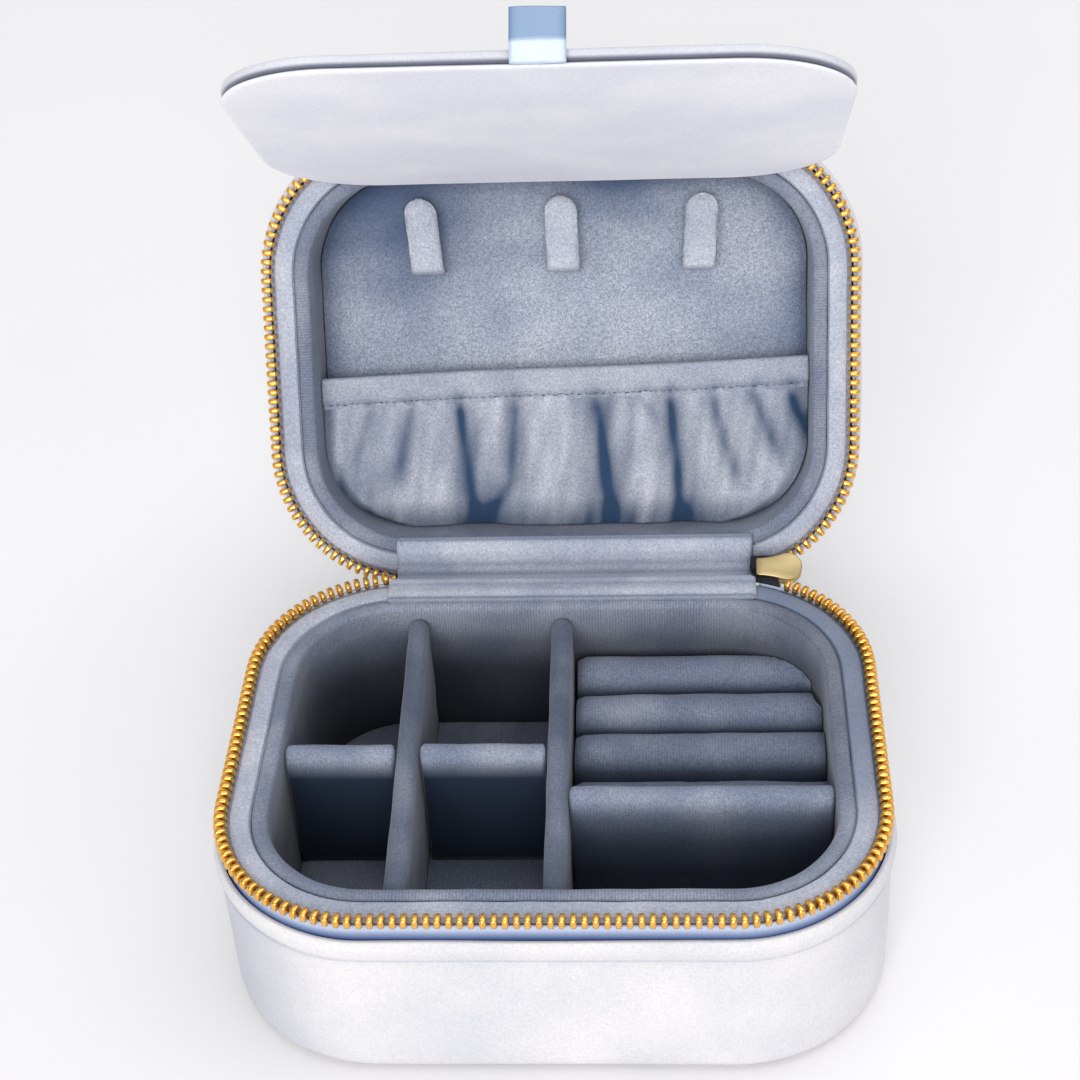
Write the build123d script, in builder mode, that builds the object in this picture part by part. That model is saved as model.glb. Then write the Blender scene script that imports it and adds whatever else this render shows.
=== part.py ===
from build123d import *
import math
import os

# Travel jewelry case, millimetres. The origin is the middle of the case's underside, +Z is up,
# +X is to the right and +Y points to the hinge. The lid stands open and its inner flap is raised.
#
# Both halves are measured from the zip line, the rounded rectangle that the zip's teeth follow.
# An inset is a distance inwards from the zip line, and a depth is a distance from the closing
# plane into a half: downwards in the base, and away from the base in the lid.

# Driving dimensions
ZIP_W = 160.0
ZIP_D = 122.6
ZIP_R = 37.0
BASE_H = 52.9
LID_H = 30.0
LID_OPEN = 114.35
FLAP_RAISED = 108.0

# The hinge line of the lid, in the outer cover at the back
HINGE_Y = 63.4
HINGE_Z = 42.9

# Wall build-up, as insets from the zip line
COVER_OUT = -2.0
COVER_IN = -0.5
BINDING_OUT = -2.4
CORE_SEAT = 0.5
CORE_OUT = -0.3
CORE_IN = 6.9
BAND_OUT = 2.2
LINER_OUT = 7.1
LINER_IN = 11.3
TAPE_HALF = 0.3

# Wall build-up, as depths from the closing plane
TOOTH_DEPTH = 1.5
RIM_DEPTH = 2.5
BAND_T = 2.0
BINDING_TOP = 6.8
TAPE_END = 12.5
COVER_TOP = 12.8
COVER_T = 1.5
SEAM = 0.2
COVER_EDGE_R = 4.0
RIM_SOFT = 0.9

# Floor of the base and back of the lid, as the depth of each surface
BASE_CORE_FLOOR = 47.7
BASE_FLOOR = 43.5
LID_CORE_FLOOR = 25.0
LID_PANEL = 22.6

# Zip
TOOTH_PITCH = 2.57
TOOTH_LONG = 1.45
TOOTH_WIDE = 3.0
TOOTH_TALL = 2.8
ZIP_LEFT_END = -47.5
ZIP_RIGHT_END = 59.5
LID_TEETH_END = 61.5
STOP_X = -48.5
STOP_SOFT = 0.3

# Dividers and ring rolls
DIVIDER_T = 5.6
DIVIDER_TOP = 5.8
DIVIDER_SOFT = 2.2
DIVIDER_GAP = 0.3
MAIN_X = 0.65
MAIN_SKEW = 0.8
LEFT_X = -37.45
LEFT_SKEW = 1.6
CROSS_T = 6.4
CROSS_Y = -0.7
RIGHT_CROSS_Y = -15.9
CROSS_LIFT_GAP = 0.4
CROSS_SEWN_GAP = 0.1
ROLL_COUNT = 4
ROLL_PITCH = 15.2
ROLL_W = 14.9
ROLL_TOP = 16.0
LAST_ROLL_DROP = 2.5
ROLL_LEFT_X = 4.1

# Inside the lid, in the lid's own closed coordinates
HOOK_X = (-38.2, 0.4, 38.8)
HOOK_TOP_Y = -44.0
HOOK_FOOT_Y = -22.6
HOOK_W = 9.0
HOOK_T = 2.4
HOOK_GAP = 4.6
HOOK_FOOT = 4.0
HOOK_SOFT = 0.8
POCKET_HEM_Y = 3.6
POCKET_TILT = -1.7
POCKET_DEPTH = 13.0
POCKET_T = 1.6
HEM_H = 8.0
HEM_T = 3.0
ELASTIC_W = 5.0
ELASTIC_T = 0.8
POCKET_GAP = 0.3

# Flap: its hinge line lies in its mirror face, and it closes against the lid's rim
FLAP_HINGE_Y = -53.0
FLAP_HINGE_DEPTH = -2.2
FLAP_W = 146.0
FLAP_L = 102.0
FLAP_R = 28.0
FLAP_BOARD_T = 2.6
FLAP_PAD_T = 1.6
FLAP_PAD_SOFT = 1.2
MIRROR_W = 118.0
MIRROR_L = 76.0
MIRROR_R = 16.0
MIRROR_T = 1.1
MIRROR_GAP = 0.2
FLAP_HINGE_W = 110.0
FLAP_HINGE_T = 0.8
FLAP_HINGE_R = 1.0
FLAP_FOLD = ((-57.6, 1.8), (-54.3, 1.6), (-53.9, -1.2))
RIBBON_X = 2.0
RIBBON_W = 12.4
RIBBON_T = 0.6
RIBBON_RISE = 8.8
RIBBON_START = 1.0
RIBBON_GAP = 2.4
RIBBON_R = 1.1

# Fabric hinge between the halves
STRIP_LEFT = -47.5
STRIP_RIGHT = 52.3
STRIP_T = 1.2
STRIP_DEPTH = 1.7
STRIP_R = 2.5
STRIP_BASE_Y = (52.0, 60.2)
STRIP_FOLD = ((67.2, 45.6), (73.0, 42.2))
STRIP_LID_Y = (58.6, 49.2)
OUTER_STRIP_T = 1.4
OUTER_STRIP_R = 1.2
OUTER_FOLD = (72.0, 37.4)
OUTER_BELOW_HINGE = 0.4
OUTER_LID_RUN = 2.0

# Zip slider and its pull tab
SLIDER_X = 59.4
SLIDER_Y = 68.5
SLIDER_Z = 47.6
SLIDER_L = 12.0
SLIDER_BIG_R = 4.0
SLIDER_SMALL_R = 2.6
SLIDER_PLATE = 1.2
SLIDER_SLOT = 2.2
WEDGE_SHIFT = 0.6
WEDGE_LONG = 2.6
WEDGE_WIDE = 1.4
BAIL_SPAN = 5.2
BAIL_W = 2.0
BAIL_RISE = 2.7
BAIL_BAR = 1.0
TAB_PIN_R = 0.6
TAB_RISE = 0.65
TAB_W = 6.4
TAB_ARM = 1.0
TAB_WINDOW = 3.5
TAB_L = 22.0
TAB_T = 1.1

# Planes: each half pairs its closing plane with the direction that leads into it
open_rad = math.radians(LID_OPEN)
raise_rad = math.radians(FLAP_RAISED)
hinge_to_plane = BASE_H - HINGE_Z
lid_origin = (
    0,
    HINGE_Y - HINGE_Y * math.cos(open_rad) + hinge_to_plane * math.sin(open_rad),
    HINGE_Z + HINGE_Y * math.sin(open_rad) + hinge_to_plane * math.cos(open_rad),
)
LID_PLANE = Plane(origin=lid_origin, x_dir=(1, 0, 0), z_dir=(0, math.sin(open_rad), math.cos(open_rad)))
BASE = (Plane.XY.offset(BASE_H), -1)
LID = (LID_PLANE, 1)
FLAP = Plane(
    origin=LID_PLANE.from_local_coords(Vector(0, FLAP_HINGE_Y, FLAP_HINGE_DEPTH)),
    x_dir=(1, 0, 0),
    z_dir=LID_PLANE.y_dir * math.sin(raise_rad) + LID_PLANE.z_dir * math.cos(raise_rad),
)
half_open = open_rad / 2
SLIDER = Plane(
    origin=(SLIDER_X, SLIDER_Y, SLIDER_Z),
    x_dir=(1, 0, 0),
    z_dir=(0, math.cos(half_open), -math.sin(half_open)),
)


def level(half, depth):
    """The plane parallel to a half's closing plane, at a depth into that half."""
    plane, into = half
    return plane.offset(into * depth)


def across(plane, x):
    """The plane at x whose local axes are the given plane's y and z."""
    return Plane(
        origin=plane.from_local_coords(Vector(x, 0, 0)),
        x_dir=plane.y_dir,
        z_dir=plane.x_dir,
    )


def zip_outline(inset, mode=Mode.ADD):
    """The zip line's rounded rectangle, pulled in by an inset."""
    RectangleRounded(ZIP_W - 2 * inset, ZIP_D - 2 * inset, ZIP_R - inset, mode=mode)


def faces_by_depth(part, half):
    """A part's faces, the nearest to the closing plane first."""
    plane, into = half
    return part.faces().sort_by(Axis(plane.origin, plane.z_dir * into))


def ring(half, outer, inner, near, far, soft):
    """A wall that follows the zip line between two insets and two depths."""
    with BuildPart() as wall:
        with BuildSketch(level(half, near)):
            zip_outline(outer)
            zip_outline(inner, Mode.SUBTRACT)
        extrude(amount=half[1] * (far - near))
        if soft:
            fillet(faces_by_depth(wall, half)[0].edges(), soft)
    return wall


def open_back(wall, half, near, far, left, right):
    """Take the stretch at the back between two x values out of a wall."""
    with BuildPart() as cut:
        add(wall.part)
        with BuildSketch(level(half, near)):
            with Locations(((left + right) / 2, ZIP_D / 2)):
                Rectangle(right - left, ZIP_D / 2)
        extrude(amount=half[1] * (far - near), mode=Mode.SUBTRACT)
    return cut


def cover(half, height):
    """The outer cover: a shallow tub with a rolled outer edge."""
    with BuildPart() as tub:
        with BuildSketch(level(half, COVER_TOP)):
            zip_outline(COVER_OUT)
        extrude(amount=half[1] * (height - COVER_TOP))
        fillet(faces_by_depth(tub, half)[-1].edges(), COVER_EDGE_R)
        with BuildSketch(level(half, COVER_TOP)):
            zip_outline(COVER_IN)
        extrude(amount=half[1] * (height - COVER_T - COVER_TOP), mode=Mode.SUBTRACT)
    return tub


def core(half, height, floor):
    """The stiff board tub: its upper wall steps in to seat the zip tape."""
    top = RIM_DEPTH + BAND_T
    end = height - COVER_T - SEAM
    with BuildPart() as tub:
        with BuildSketch(level(half, top)):
            zip_outline(CORE_SEAT)
        extrude(amount=half[1] * (end - top))
        with BuildSketch(level(half, COVER_TOP)):
            zip_outline(CORE_OUT)
        extrude(amount=half[1] * (end - COVER_TOP))
        with BuildSketch(level(half, top)):
            zip_outline(CORE_IN)
        extrude(amount=half[1] * (floor - top), mode=Mode.SUBTRACT)
    return tub


def pad(half, inset, near, far, soft):
    """A flat pad that fills the outline at an inset."""
    with BuildPart() as sheet:
        with BuildSketch(level(half, near)):
            zip_outline(inset)
        extrude(amount=half[1] * (far - near))
        fillet(faces_by_depth(sheet, half)[0].edges(), soft)
    return sheet


def zip_places(right_end):
    """Places along the zip line, one tooth pitch apart, that leave the back open up to right_end."""
    with BuildSketch() as whole:
        zip_outline(0)
    line = whole.face().outer_wire()
    count = round(line.length / TOOTH_PITCH)
    places = [line.location_at(n / count) for n in range(count)]
    last_left = STOP_X - TOOTH_LONG
    return [
        place
        for place in places
        if place.position.Y < 0 or not last_left < place.position.X < right_end
    ]


def tooth_spot(half, place):
    """The plane of one tooth: x along the zip line, y across it, z into the half."""
    plane = half[0]
    along = Plane(place).z_dir
    return Plane(
        origin=level(half, TOOTH_DEPTH).from_local_coords(place.position),
        x_dir=plane.x_dir * along.X + plane.y_dir * along.Y,
        z_dir=plane.z_dir,
    )


def teeth(half, right_end):
    """One row of separate metal teeth that straddle the tape's edge."""
    with BuildPart() as row:
        with Locations(*[tooth_spot(half, place) for place in zip_places(right_end)]):
            Box(TOOTH_LONG, TOOTH_WIDE, TOOTH_TALL)
    return row


def save(piece, name):
    """Label a finished piece and write it as one STEP file."""
    piece.part.label = name
    export_step(piece.part, f"parts/{name}.step")


os.makedirs("parts", exist_ok=True)

# Base: outer cover, with the underside of the case in its bottom face
base_cover = cover(BASE, BASE_H)
save(base_cover, "base_cover")

base_core = core(BASE, BASE_H, BASE_CORE_FLOOR)
save(base_core, "base_core")

# Lid: the same build-up, shallower
lid_cover = cover(LID, LID_H)
save(lid_cover, "lid_cover")

lid_core = core(LID, LID_H, LID_CORE_FLOOR)
save(lid_core, "lid_core")

# Rolled binding over the cover's edge, cut where the outer hinge strip takes its place
for name, half in (("base_edge_binding", BASE), ("lid_edge_binding", LID)):
    roll = ring(half, BINDING_OUT, COVER_IN, BINDING_TOP, COVER_TOP - SEAM, RIM_SOFT)
    binding = open_back(roll, half, BINDING_TOP, COVER_TOP, STRIP_LEFT, STRIP_RIGHT)
    save(binding, name)

# Padded rim band between the zip and the lining
for name, half in (("base_rim_band", BASE), ("lid_rim_band", LID)):
    band = ring(half, BAND_OUT, CORE_IN, RIM_DEPTH, RIM_DEPTH + BAND_T - SEAM, RIM_SOFT)
    save(band, name)

# Lining wall, whose top edge is the inner ring of the rim
base_lining = ring(BASE, LINER_OUT, LINER_IN, RIM_DEPTH, BASE_CORE_FLOOR - SEAM, RIM_SOFT)
save(base_lining, "base_lining")

lid_lining = ring(LID, LINER_OUT, LINER_IN, RIM_DEPTH, LID_CORE_FLOOR - SEAM, RIM_SOFT)
save(lid_lining, "lid_lining")

# Soft floor of the base and padded back panel of the lid
base_floor_pad = pad(BASE, LINER_IN + SEAM, BASE_FLOOR, BASE_CORE_FLOOR - SEAM, RIM_SOFT)
save(base_floor_pad, "base_floor_pad")

lid_back_panel = pad(LID, LINER_IN + SEAM, LID_PANEL, LID_CORE_FLOOR - SEAM, SEAM)
save(lid_back_panel, "lid_back_panel")

# Zip tapes, one along each half, and their rows of teeth
for name, half in (("base_zip_tape", BASE), ("lid_zip_tape", LID)):
    band = ring(half, -TAPE_HALF, TAPE_HALF, TOOTH_DEPTH + TOOTH_TALL / 2 + SEAM, TAPE_END, 0)
    tape = open_back(band, half, 0, COVER_TOP, ZIP_LEFT_END, ZIP_RIGHT_END)
    save(tape, name)

base_zip_teeth = teeth(BASE, ZIP_RIGHT_END)
save(base_zip_teeth, "base_zip_teeth")

lid_zip_teeth = teeth(LID, LID_TEETH_END)
save(lid_zip_teeth, "lid_zip_teeth")

# Top stops: one metal crimp past the last tooth at the left end of each row
for name, half in (("base_zip_stop", BASE), ("lid_zip_stop", LID)):
    with BuildPart() as stop:
        with BuildSketch(level(half, TOOTH_DEPTH - TOOTH_TALL / 2)):
            with Locations((STOP_X, ZIP_D / 2)):
                Rectangle(TOOTH_LONG, TOOTH_WIDE)
        extrude(amount=half[1] * TOOTH_TALL)
        fillet(faces_by_depth(stop, half)[0].edges(), STOP_SOFT)
    save(stop, name)


def upright(base_x, base_y, skew, length, thick, inset):
    """A padded divider with a soft top, standing on the floor pad inside the lining."""
    height = BASE_FLOOR - SEAM - DIVIDER_TOP
    with BuildPart() as wall:
        with BuildSketch(level(BASE, BASE_FLOOR - SEAM)):
            with Locations(Location((base_x, base_y, 0), (0, 0, skew))):
                Rectangle(thick, length)
        extrude(amount=height)
        top = wall.faces().sort_by(Axis.Z)[-1]
        fillet(top.edges().sort_by(SortBy.LENGTH)[-2:], DIVIDER_SOFT)
        with BuildSketch(level(BASE, BASE_FLOOR - SEAM)):
            zip_outline(inset)
        extrude(amount=height, mode=Mode.INTERSECT)
    return wall


def divider_face(centre_x, skew, y, side):
    """The x of a long divider's side face at y, with side -1 for left and 1 for right."""
    return centre_x - math.tan(math.radians(skew)) * y + side * DIVIDER_T / 2


# Long dividers from front to back: the right-hand one is sewn in, the left-hand one lifts out
inner_d = ZIP_D - 2 * LINER_IN
main_divider = upright(MAIN_X, 0, MAIN_SKEW, inner_d, DIVIDER_T, LINER_IN + SEAM)
save(main_divider, "main_divider")

left_divider = upright(LEFT_X, 0, LEFT_SKEW, inner_d, DIVIDER_T, LINER_IN + DIVIDER_GAP)
save(left_divider, "left_divider")

# Short cross dividers, each between two faces, with a gap at both ends
inner_x = ZIP_W / 2 - LINER_IN
left_face = divider_face(LEFT_X, LEFT_SKEW, CROSS_Y - CROSS_T / 2, -1)
left_far_face = divider_face(LEFT_X, LEFT_SKEW, CROSS_Y + CROSS_T / 2, 1)
main_face = divider_face(MAIN_X, MAIN_SKEW, CROSS_Y + CROSS_T / 2, -1)
main_far_face = divider_face(MAIN_X, MAIN_SKEW, RIGHT_CROSS_Y - CROSS_T / 2, 1)
cross_runs = {
    "cross_divider_left": (-inner_x, left_face - CROSS_LIFT_GAP, CROSS_Y),
    "cross_divider_middle": (left_far_face + CROSS_LIFT_GAP, main_face - CROSS_SEWN_GAP, CROSS_Y),
    "cross_divider_right": (main_far_face, inner_x, RIGHT_CROSS_Y),
}
for name, (left, right, y) in cross_runs.items():
    length = right - left - 2 * DIVIDER_GAP
    board = upright((left + right) / 2, y, 90, length, CROSS_T, LINER_IN + DIVIDER_GAP)
    save(board, name)

# Ring rolls: upright foam bars with round tops, side by side, cut to the lining's corners.
# The front one sits lower, tucked in behind the cross divider.
roll_back = ZIP_D / 2 - LINER_IN - DIVIDER_GAP
roll_r = ROLL_W / 2
foot_z = BASE_H - BASE_FLOOR + SEAM
for n in range(ROLL_COUNT):
    y = roll_back - ROLL_PITCH * (n + 0.5)
    drop = LAST_ROLL_DROP if n == ROLL_COUNT - 1 else 0
    axis_z = BASE_H - ROLL_TOP - drop - roll_r
    with BuildPart() as ring_roll:
        with BuildSketch(Plane.YZ.offset(ROLL_LEFT_X)):
            with Locations((y, (axis_z + foot_z) / 2)):
                Rectangle(ROLL_W, axis_z - foot_z)
            with Locations((y, axis_z)):
                Circle(roll_r)
        extrude(amount=inner_x - ROLL_LEFT_X)
        with BuildSketch(level(BASE, BASE_FLOOR)):
            zip_outline(LINER_IN + DIVIDER_GAP)
        extrude(amount=BASE_FLOOR, mode=Mode.INTERSECT)
    save(ring_roll, f"ring_roll_{n + 1}")

# Necklace hooks: a soft tab with a round top, held off the back panel by its foot
for n, x in enumerate(HOOK_X):
    with BuildPart() as hook:
        with BuildSketch(level(LID, LID_PANEL - HOOK_GAP - SEAM)):
            with Locations((x, (HOOK_TOP_Y + HOOK_FOOT_Y) / 2)):
                SlotOverall(HOOK_FOOT_Y - HOOK_TOP_Y, HOOK_W, rotation=90)
            with Locations((x, HOOK_FOOT_Y - HOOK_W / 4)):
                Rectangle(HOOK_W, HOOK_W / 2)
        extrude(amount=-HOOK_T)
        fillet(faces_by_depth(hook, LID)[0].edges(), HOOK_SOFT)
        with BuildSketch(level(LID, LID_PANEL - HOOK_GAP - SEAM)):
            with Locations((x, HOOK_FOOT_Y - HOOK_FOOT / 2)):
                Rectangle(HOOK_W, HOOK_FOOT)
        extrude(amount=HOOK_GAP)
    save(hook, f"necklace_hook_{n + 1}")


def pocket_region(top_y, bottom_y):
    """A wide sketch strip between two slanted lines, for the pocket's slanting hem."""
    reach = ZIP_W / 2
    tilt = math.tan(math.radians(POCKET_TILT)) * reach
    Polygon(
        (-reach, top_y - tilt),
        (reach, top_y + tilt),
        (reach, bottom_y + tilt),
        (-reach, bottom_y - tilt),
        align=None,
        mode=Mode.INTERSECT,
    )


# Pocket: a fabric wall across the lid's back part, with a hem that holds the elastic
pocket_bottom = ZIP_D / 2
with BuildPart() as lid_pocket:
    with BuildSketch(level(LID, POCKET_DEPTH)):
        zip_outline(LINER_IN + SEAM)
        pocket_region(POCKET_HEM_Y, pocket_bottom)
    extrude(amount=POCKET_T)
    with BuildSketch(level(LID, POCKET_DEPTH)):
        zip_outline(LINER_IN + SEAM)
        pocket_region(POCKET_HEM_Y, POCKET_HEM_Y + HEM_H)
    extrude(amount=HEM_T)
    with BuildSketch(level(LID, POCKET_DEPTH + (HEM_T - ELASTIC_T) / 2 - POCKET_GAP)):
        zip_outline(LINER_IN)
        pocket_region(
            POCKET_HEM_Y + (HEM_H - ELASTIC_W) / 2 - POCKET_GAP,
            POCKET_HEM_Y + (HEM_H + ELASTIC_W) / 2 + POCKET_GAP,
        )
    extrude(amount=ELASTIC_T + 2 * POCKET_GAP, mode=Mode.SUBTRACT)
save(lid_pocket, "lid_pocket")

with BuildPart() as pocket_elastic:
    with BuildSketch(level(LID, POCKET_DEPTH + (HEM_T - ELASTIC_T) / 2)):
        zip_outline(LINER_IN + SEAM)
        pocket_region(POCKET_HEM_Y + (HEM_H - ELASTIC_W) / 2, POCKET_HEM_Y + (HEM_H + ELASTIC_W) / 2)
    extrude(amount=ELASTIC_T)
save(pocket_elastic, "pocket_elastic")


def lid_point(y, depth):
    """World y and z of a point given in the lid's closed coordinates."""
    point = LID_PLANE.from_local_coords(Vector(0, y, depth))
    return (point.Y, point.Z)


# Inner hinge strip: from the base's lining line, over the fold, to the lid's lining line
strip_z = BASE_H - STRIP_DEPTH
strip_line = [
    *[(y, strip_z) for y in STRIP_BASE_Y],
    *STRIP_FOLD,
    *[lid_point(y, STRIP_DEPTH) for y in STRIP_LID_Y],
]
with BuildPart() as inner_hinge_strip:
    with BuildSketch(Plane.YZ.offset(STRIP_LEFT)):
        with BuildLine():
            FilletPolyline(*strip_line, radius=STRIP_R)
        trace(line_width=STRIP_T)
    extrude(amount=STRIP_RIGHT - STRIP_LEFT)
save(inner_hinge_strip, "inner_hinge_strip")

# Outer hinge strip: from the base's cover to the lid's cover, in the binding's place
outer_y = ZIP_D / 2 - (COVER_OUT + COVER_IN) / 2
outer_line = [
    (outer_y, BASE_H - COVER_TOP + SEAM),
    (outer_y, HINGE_Z - OUTER_BELOW_HINGE),
    OUTER_FOLD,
    lid_point(outer_y, BINDING_TOP + OUTER_LID_RUN),
    lid_point(outer_y, COVER_TOP - SEAM),
]
with BuildPart() as outer_hinge_strip:
    with BuildSketch(Plane.YZ.offset(STRIP_LEFT + SEAM)):
        with BuildLine():
            FilletPolyline(*outer_line, radius=OUTER_STRIP_R)
        trace(line_width=OUTER_STRIP_T)
    extrude(amount=STRIP_RIGHT - STRIP_LEFT - 2 * SEAM)
save(outer_hinge_strip, "outer_hinge_strip")

# Flap: a stiff board with the mirror let into it, and a soft pad on its other face
with BuildPart() as flap_board:
    with BuildSketch(FLAP):
        with Locations((0, FLAP_L / 2)):
            RectangleRounded(FLAP_W, FLAP_L, FLAP_R)
    extrude(amount=FLAP_BOARD_T)
    with BuildSketch(FLAP):
        with Locations((0, FLAP_L / 2)):
            RectangleRounded(
                MIRROR_W + 2 * MIRROR_GAP,
                MIRROR_L + 2 * MIRROR_GAP,
                MIRROR_R + MIRROR_GAP,
            )
    extrude(amount=MIRROR_T + MIRROR_GAP, mode=Mode.SUBTRACT)
save(flap_board, "flap_board")

with BuildPart() as flap_mirror:
    with BuildSketch(FLAP.offset(MIRROR_GAP / 2)):
        with Locations((0, FLAP_L / 2)):
            RectangleRounded(MIRROR_W, MIRROR_L, MIRROR_R)
    extrude(amount=MIRROR_T)
save(flap_mirror, "flap_mirror")

with BuildPart() as flap_pad:
    with BuildSketch(FLAP.offset(FLAP_BOARD_T + SEAM)):
        with Locations((0, FLAP_L / 2)):
            RectangleRounded(FLAP_W, FLAP_L, FLAP_R)
    extrude(amount=FLAP_PAD_T)
    fillet(flap_pad.faces().sort_by(Axis(FLAP.origin, FLAP.z_dir))[-1].edges(), FLAP_PAD_SOFT)
save(flap_pad, "flap_pad")

# Ribbon pull: a folded satin loop at the middle of the flap's free edge
ribbon_y = FLAP_L + RIBBON_START
with BuildPart() as ribbon_pull:
    with BuildSketch(across(FLAP, RIBBON_X - RIBBON_W / 2)):
        with BuildLine():
            FilletPolyline(
                (ribbon_y, FLAP_BOARD_T + FLAP_PAD_T / 2),
                (ribbon_y, -RIBBON_RISE),
                (ribbon_y + RIBBON_GAP, -RIBBON_RISE),
                (ribbon_y + RIBBON_GAP, FLAP_BOARD_T + FLAP_PAD_T / 2),
                radius=RIBBON_R,
            )
        trace(line_width=RIBBON_T)
    extrude(amount=RIBBON_W)
save(ribbon_pull, "ribbon_pull")

# Flap hinge: the fabric fold between the lid's front rim and the flap
with BuildPart() as flap_hinge_strip:
    with BuildSketch(across(LID_PLANE, -FLAP_HINGE_W / 2)):
        with BuildLine():
            FilletPolyline(*FLAP_FOLD, radius=FLAP_HINGE_R)
        trace(line_width=FLAP_HINGE_T)
    extrude(amount=FLAP_HINGE_W)
save(flap_hinge_strip, "flap_hinge_strip")


def slider_blade():
    """The teardrop outline of a slider plate, its round end to the right."""
    with Locations((SLIDER_L / 2 - SLIDER_BIG_R, 0)):
        Circle(SLIDER_BIG_R)
    with Locations((SLIDER_SMALL_R - SLIDER_L / 2, 0)):
        Circle(SLIDER_SMALL_R)
    make_hull()


# Slider: two plates joined by a wedge, with the bail on the outer plate
outer_face = SLIDER_SLOT / 2 + SLIDER_PLATE
with BuildPart() as zip_slider:
    for near in (-outer_face, SLIDER_SLOT / 2):
        with BuildSketch(SLIDER.offset(near)):
            slider_blade()
        extrude(amount=SLIDER_PLATE)
    with BuildSketch(SLIDER.offset(-SLIDER_SLOT / 2)):
        with Locations((SLIDER_L / 2 - SLIDER_BIG_R + WEDGE_SHIFT, 0)):
            Ellipse(WEDGE_LONG, WEDGE_WIDE)
    extrude(amount=SLIDER_SLOT)
    with BuildSketch(SLIDER.offset(outer_face)):
        Rectangle(BAIL_SPAN, BAIL_W)
    extrude(amount=BAIL_RISE)
    with BuildSketch(SLIDER.offset(outer_face)):
        Rectangle(BAIL_SPAN - 2 * BAIL_BAR, BAIL_W)
    extrude(amount=BAIL_RISE - BAIL_BAR, mode=Mode.SUBTRACT)
save(zip_slider, "zip_slider")

# Pull tab: its cross pin lies under the bail and its window clears the bail's arch
pin_plane = SLIDER.offset(outer_face + TAB_RISE)
tab_side = Plane(
    origin=pin_plane.from_local_coords(Vector(-TAB_T / 2, 0, 0)),
    x_dir=SLIDER.y_dir,
    z_dir=SLIDER.x_dir,
)
with BuildPart() as pull_tab:
    with BuildSketch(tab_side):
        with Locations((0, TAB_L / 2)):
            RectangleRounded(TAB_W, TAB_L, TAB_PIN_R)
        with Locations((0, TAB_PIN_R + TAB_WINDOW / 2)):
            Rectangle(TAB_W - 2 * TAB_ARM, TAB_WINDOW, mode=Mode.SUBTRACT)
    extrude(amount=TAB_T)
save(pull_tab, "pull_tab")
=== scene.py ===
import bpy
import bmesh
import math
from mathutils import Matrix, Vector, noise


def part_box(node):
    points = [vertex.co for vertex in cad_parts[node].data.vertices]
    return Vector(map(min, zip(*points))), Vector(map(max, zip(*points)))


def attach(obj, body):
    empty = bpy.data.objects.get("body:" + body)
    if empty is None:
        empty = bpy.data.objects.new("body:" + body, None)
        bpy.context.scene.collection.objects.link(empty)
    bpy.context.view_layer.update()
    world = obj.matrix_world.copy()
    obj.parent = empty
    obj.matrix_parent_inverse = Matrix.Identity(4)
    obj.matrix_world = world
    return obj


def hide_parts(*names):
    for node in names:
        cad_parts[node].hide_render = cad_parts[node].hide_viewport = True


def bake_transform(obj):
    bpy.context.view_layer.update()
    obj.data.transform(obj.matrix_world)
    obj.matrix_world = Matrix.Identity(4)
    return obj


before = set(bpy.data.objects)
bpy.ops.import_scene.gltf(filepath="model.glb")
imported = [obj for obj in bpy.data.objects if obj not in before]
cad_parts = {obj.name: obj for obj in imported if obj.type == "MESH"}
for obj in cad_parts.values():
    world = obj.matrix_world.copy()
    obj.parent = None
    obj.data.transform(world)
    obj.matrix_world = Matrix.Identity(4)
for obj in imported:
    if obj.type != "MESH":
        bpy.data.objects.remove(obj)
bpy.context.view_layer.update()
scene = bpy.context.scene
MM = 0.001

# Sizes shared with the CAD, in millimetres. Inset: inwards from the zip line. Depth: from the
# closing plane into a half.
HALF_W, HALF_D, ZIP_R = 80.0, 61.3, 37.0
BASE_H, LID_H = 52.9, 30.0
HINGE_Y, HINGE_Z = 63.4, 42.9
OPEN, RAISED = math.radians(114.35), math.radians(108.0)
LINER_OUT, LINER_IN, BAND_OUT, BAND_IN = 7.1, 11.3, 2.2, 6.9
RIM_DEPTH, COVER_TOP, BINDING_TOP = 2.5, 12.8, 6.8
BASE_FLOOR, LID_PANEL = 43.5, 22.6
STRIP_LEFT, STRIP_RIGHT = -47.5, 52.3
TOOTH_PITCH, TOOTH_DEPTH = 2.57, 1.5
FLAP_W, FLAP_L, FLAP_R = 146.0, 102.0, 28.0


# ---------------------------------------------------------------- places

def base_point(x, y, depth):
    return Vector((x, y, BASE_H - depth)) * MM


def lid_point(x, y, depth):
    ry, rz = y - HINGE_Y, BASE_H + depth - HINGE_Z
    c, s = math.cos(OPEN), math.sin(OPEN)
    return Vector((x, HINGE_Y + ry * c + rz * s, HINGE_Z - ry * s + rz * c)) * MM


LID_Y = Vector((0, math.cos(OPEN), -math.sin(OPEN)))
LID_Z = Vector((0, math.sin(OPEN), math.cos(OPEN)))
FLAP_Z = LID_Y * math.sin(RAISED) + LID_Z * math.cos(RAISED)
FLAP_Y = FLAP_Z.cross(Vector((1, 0, 0)))
FLAP_O = lid_point(0, -53.0, -2.2)
SLIDER_Z = Vector((0, math.cos(OPEN / 2), -math.sin(OPEN / 2)))
SLIDER_Y = SLIDER_Z.cross(Vector((1, 0, 0)))
SLIDER_O = Vector((59.4, 68.5, 47.6)) * MM


def flap_point(x, y, z):
    return FLAP_O + (Vector((x, 0, 0)) + FLAP_Y * y + FLAP_Z * z) * MM


def slider_point(x, y, z):
    return SLIDER_O + (Vector((x, 0, 0)) + SLIDER_Y * y + SLIDER_Z * z) * MM


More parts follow.
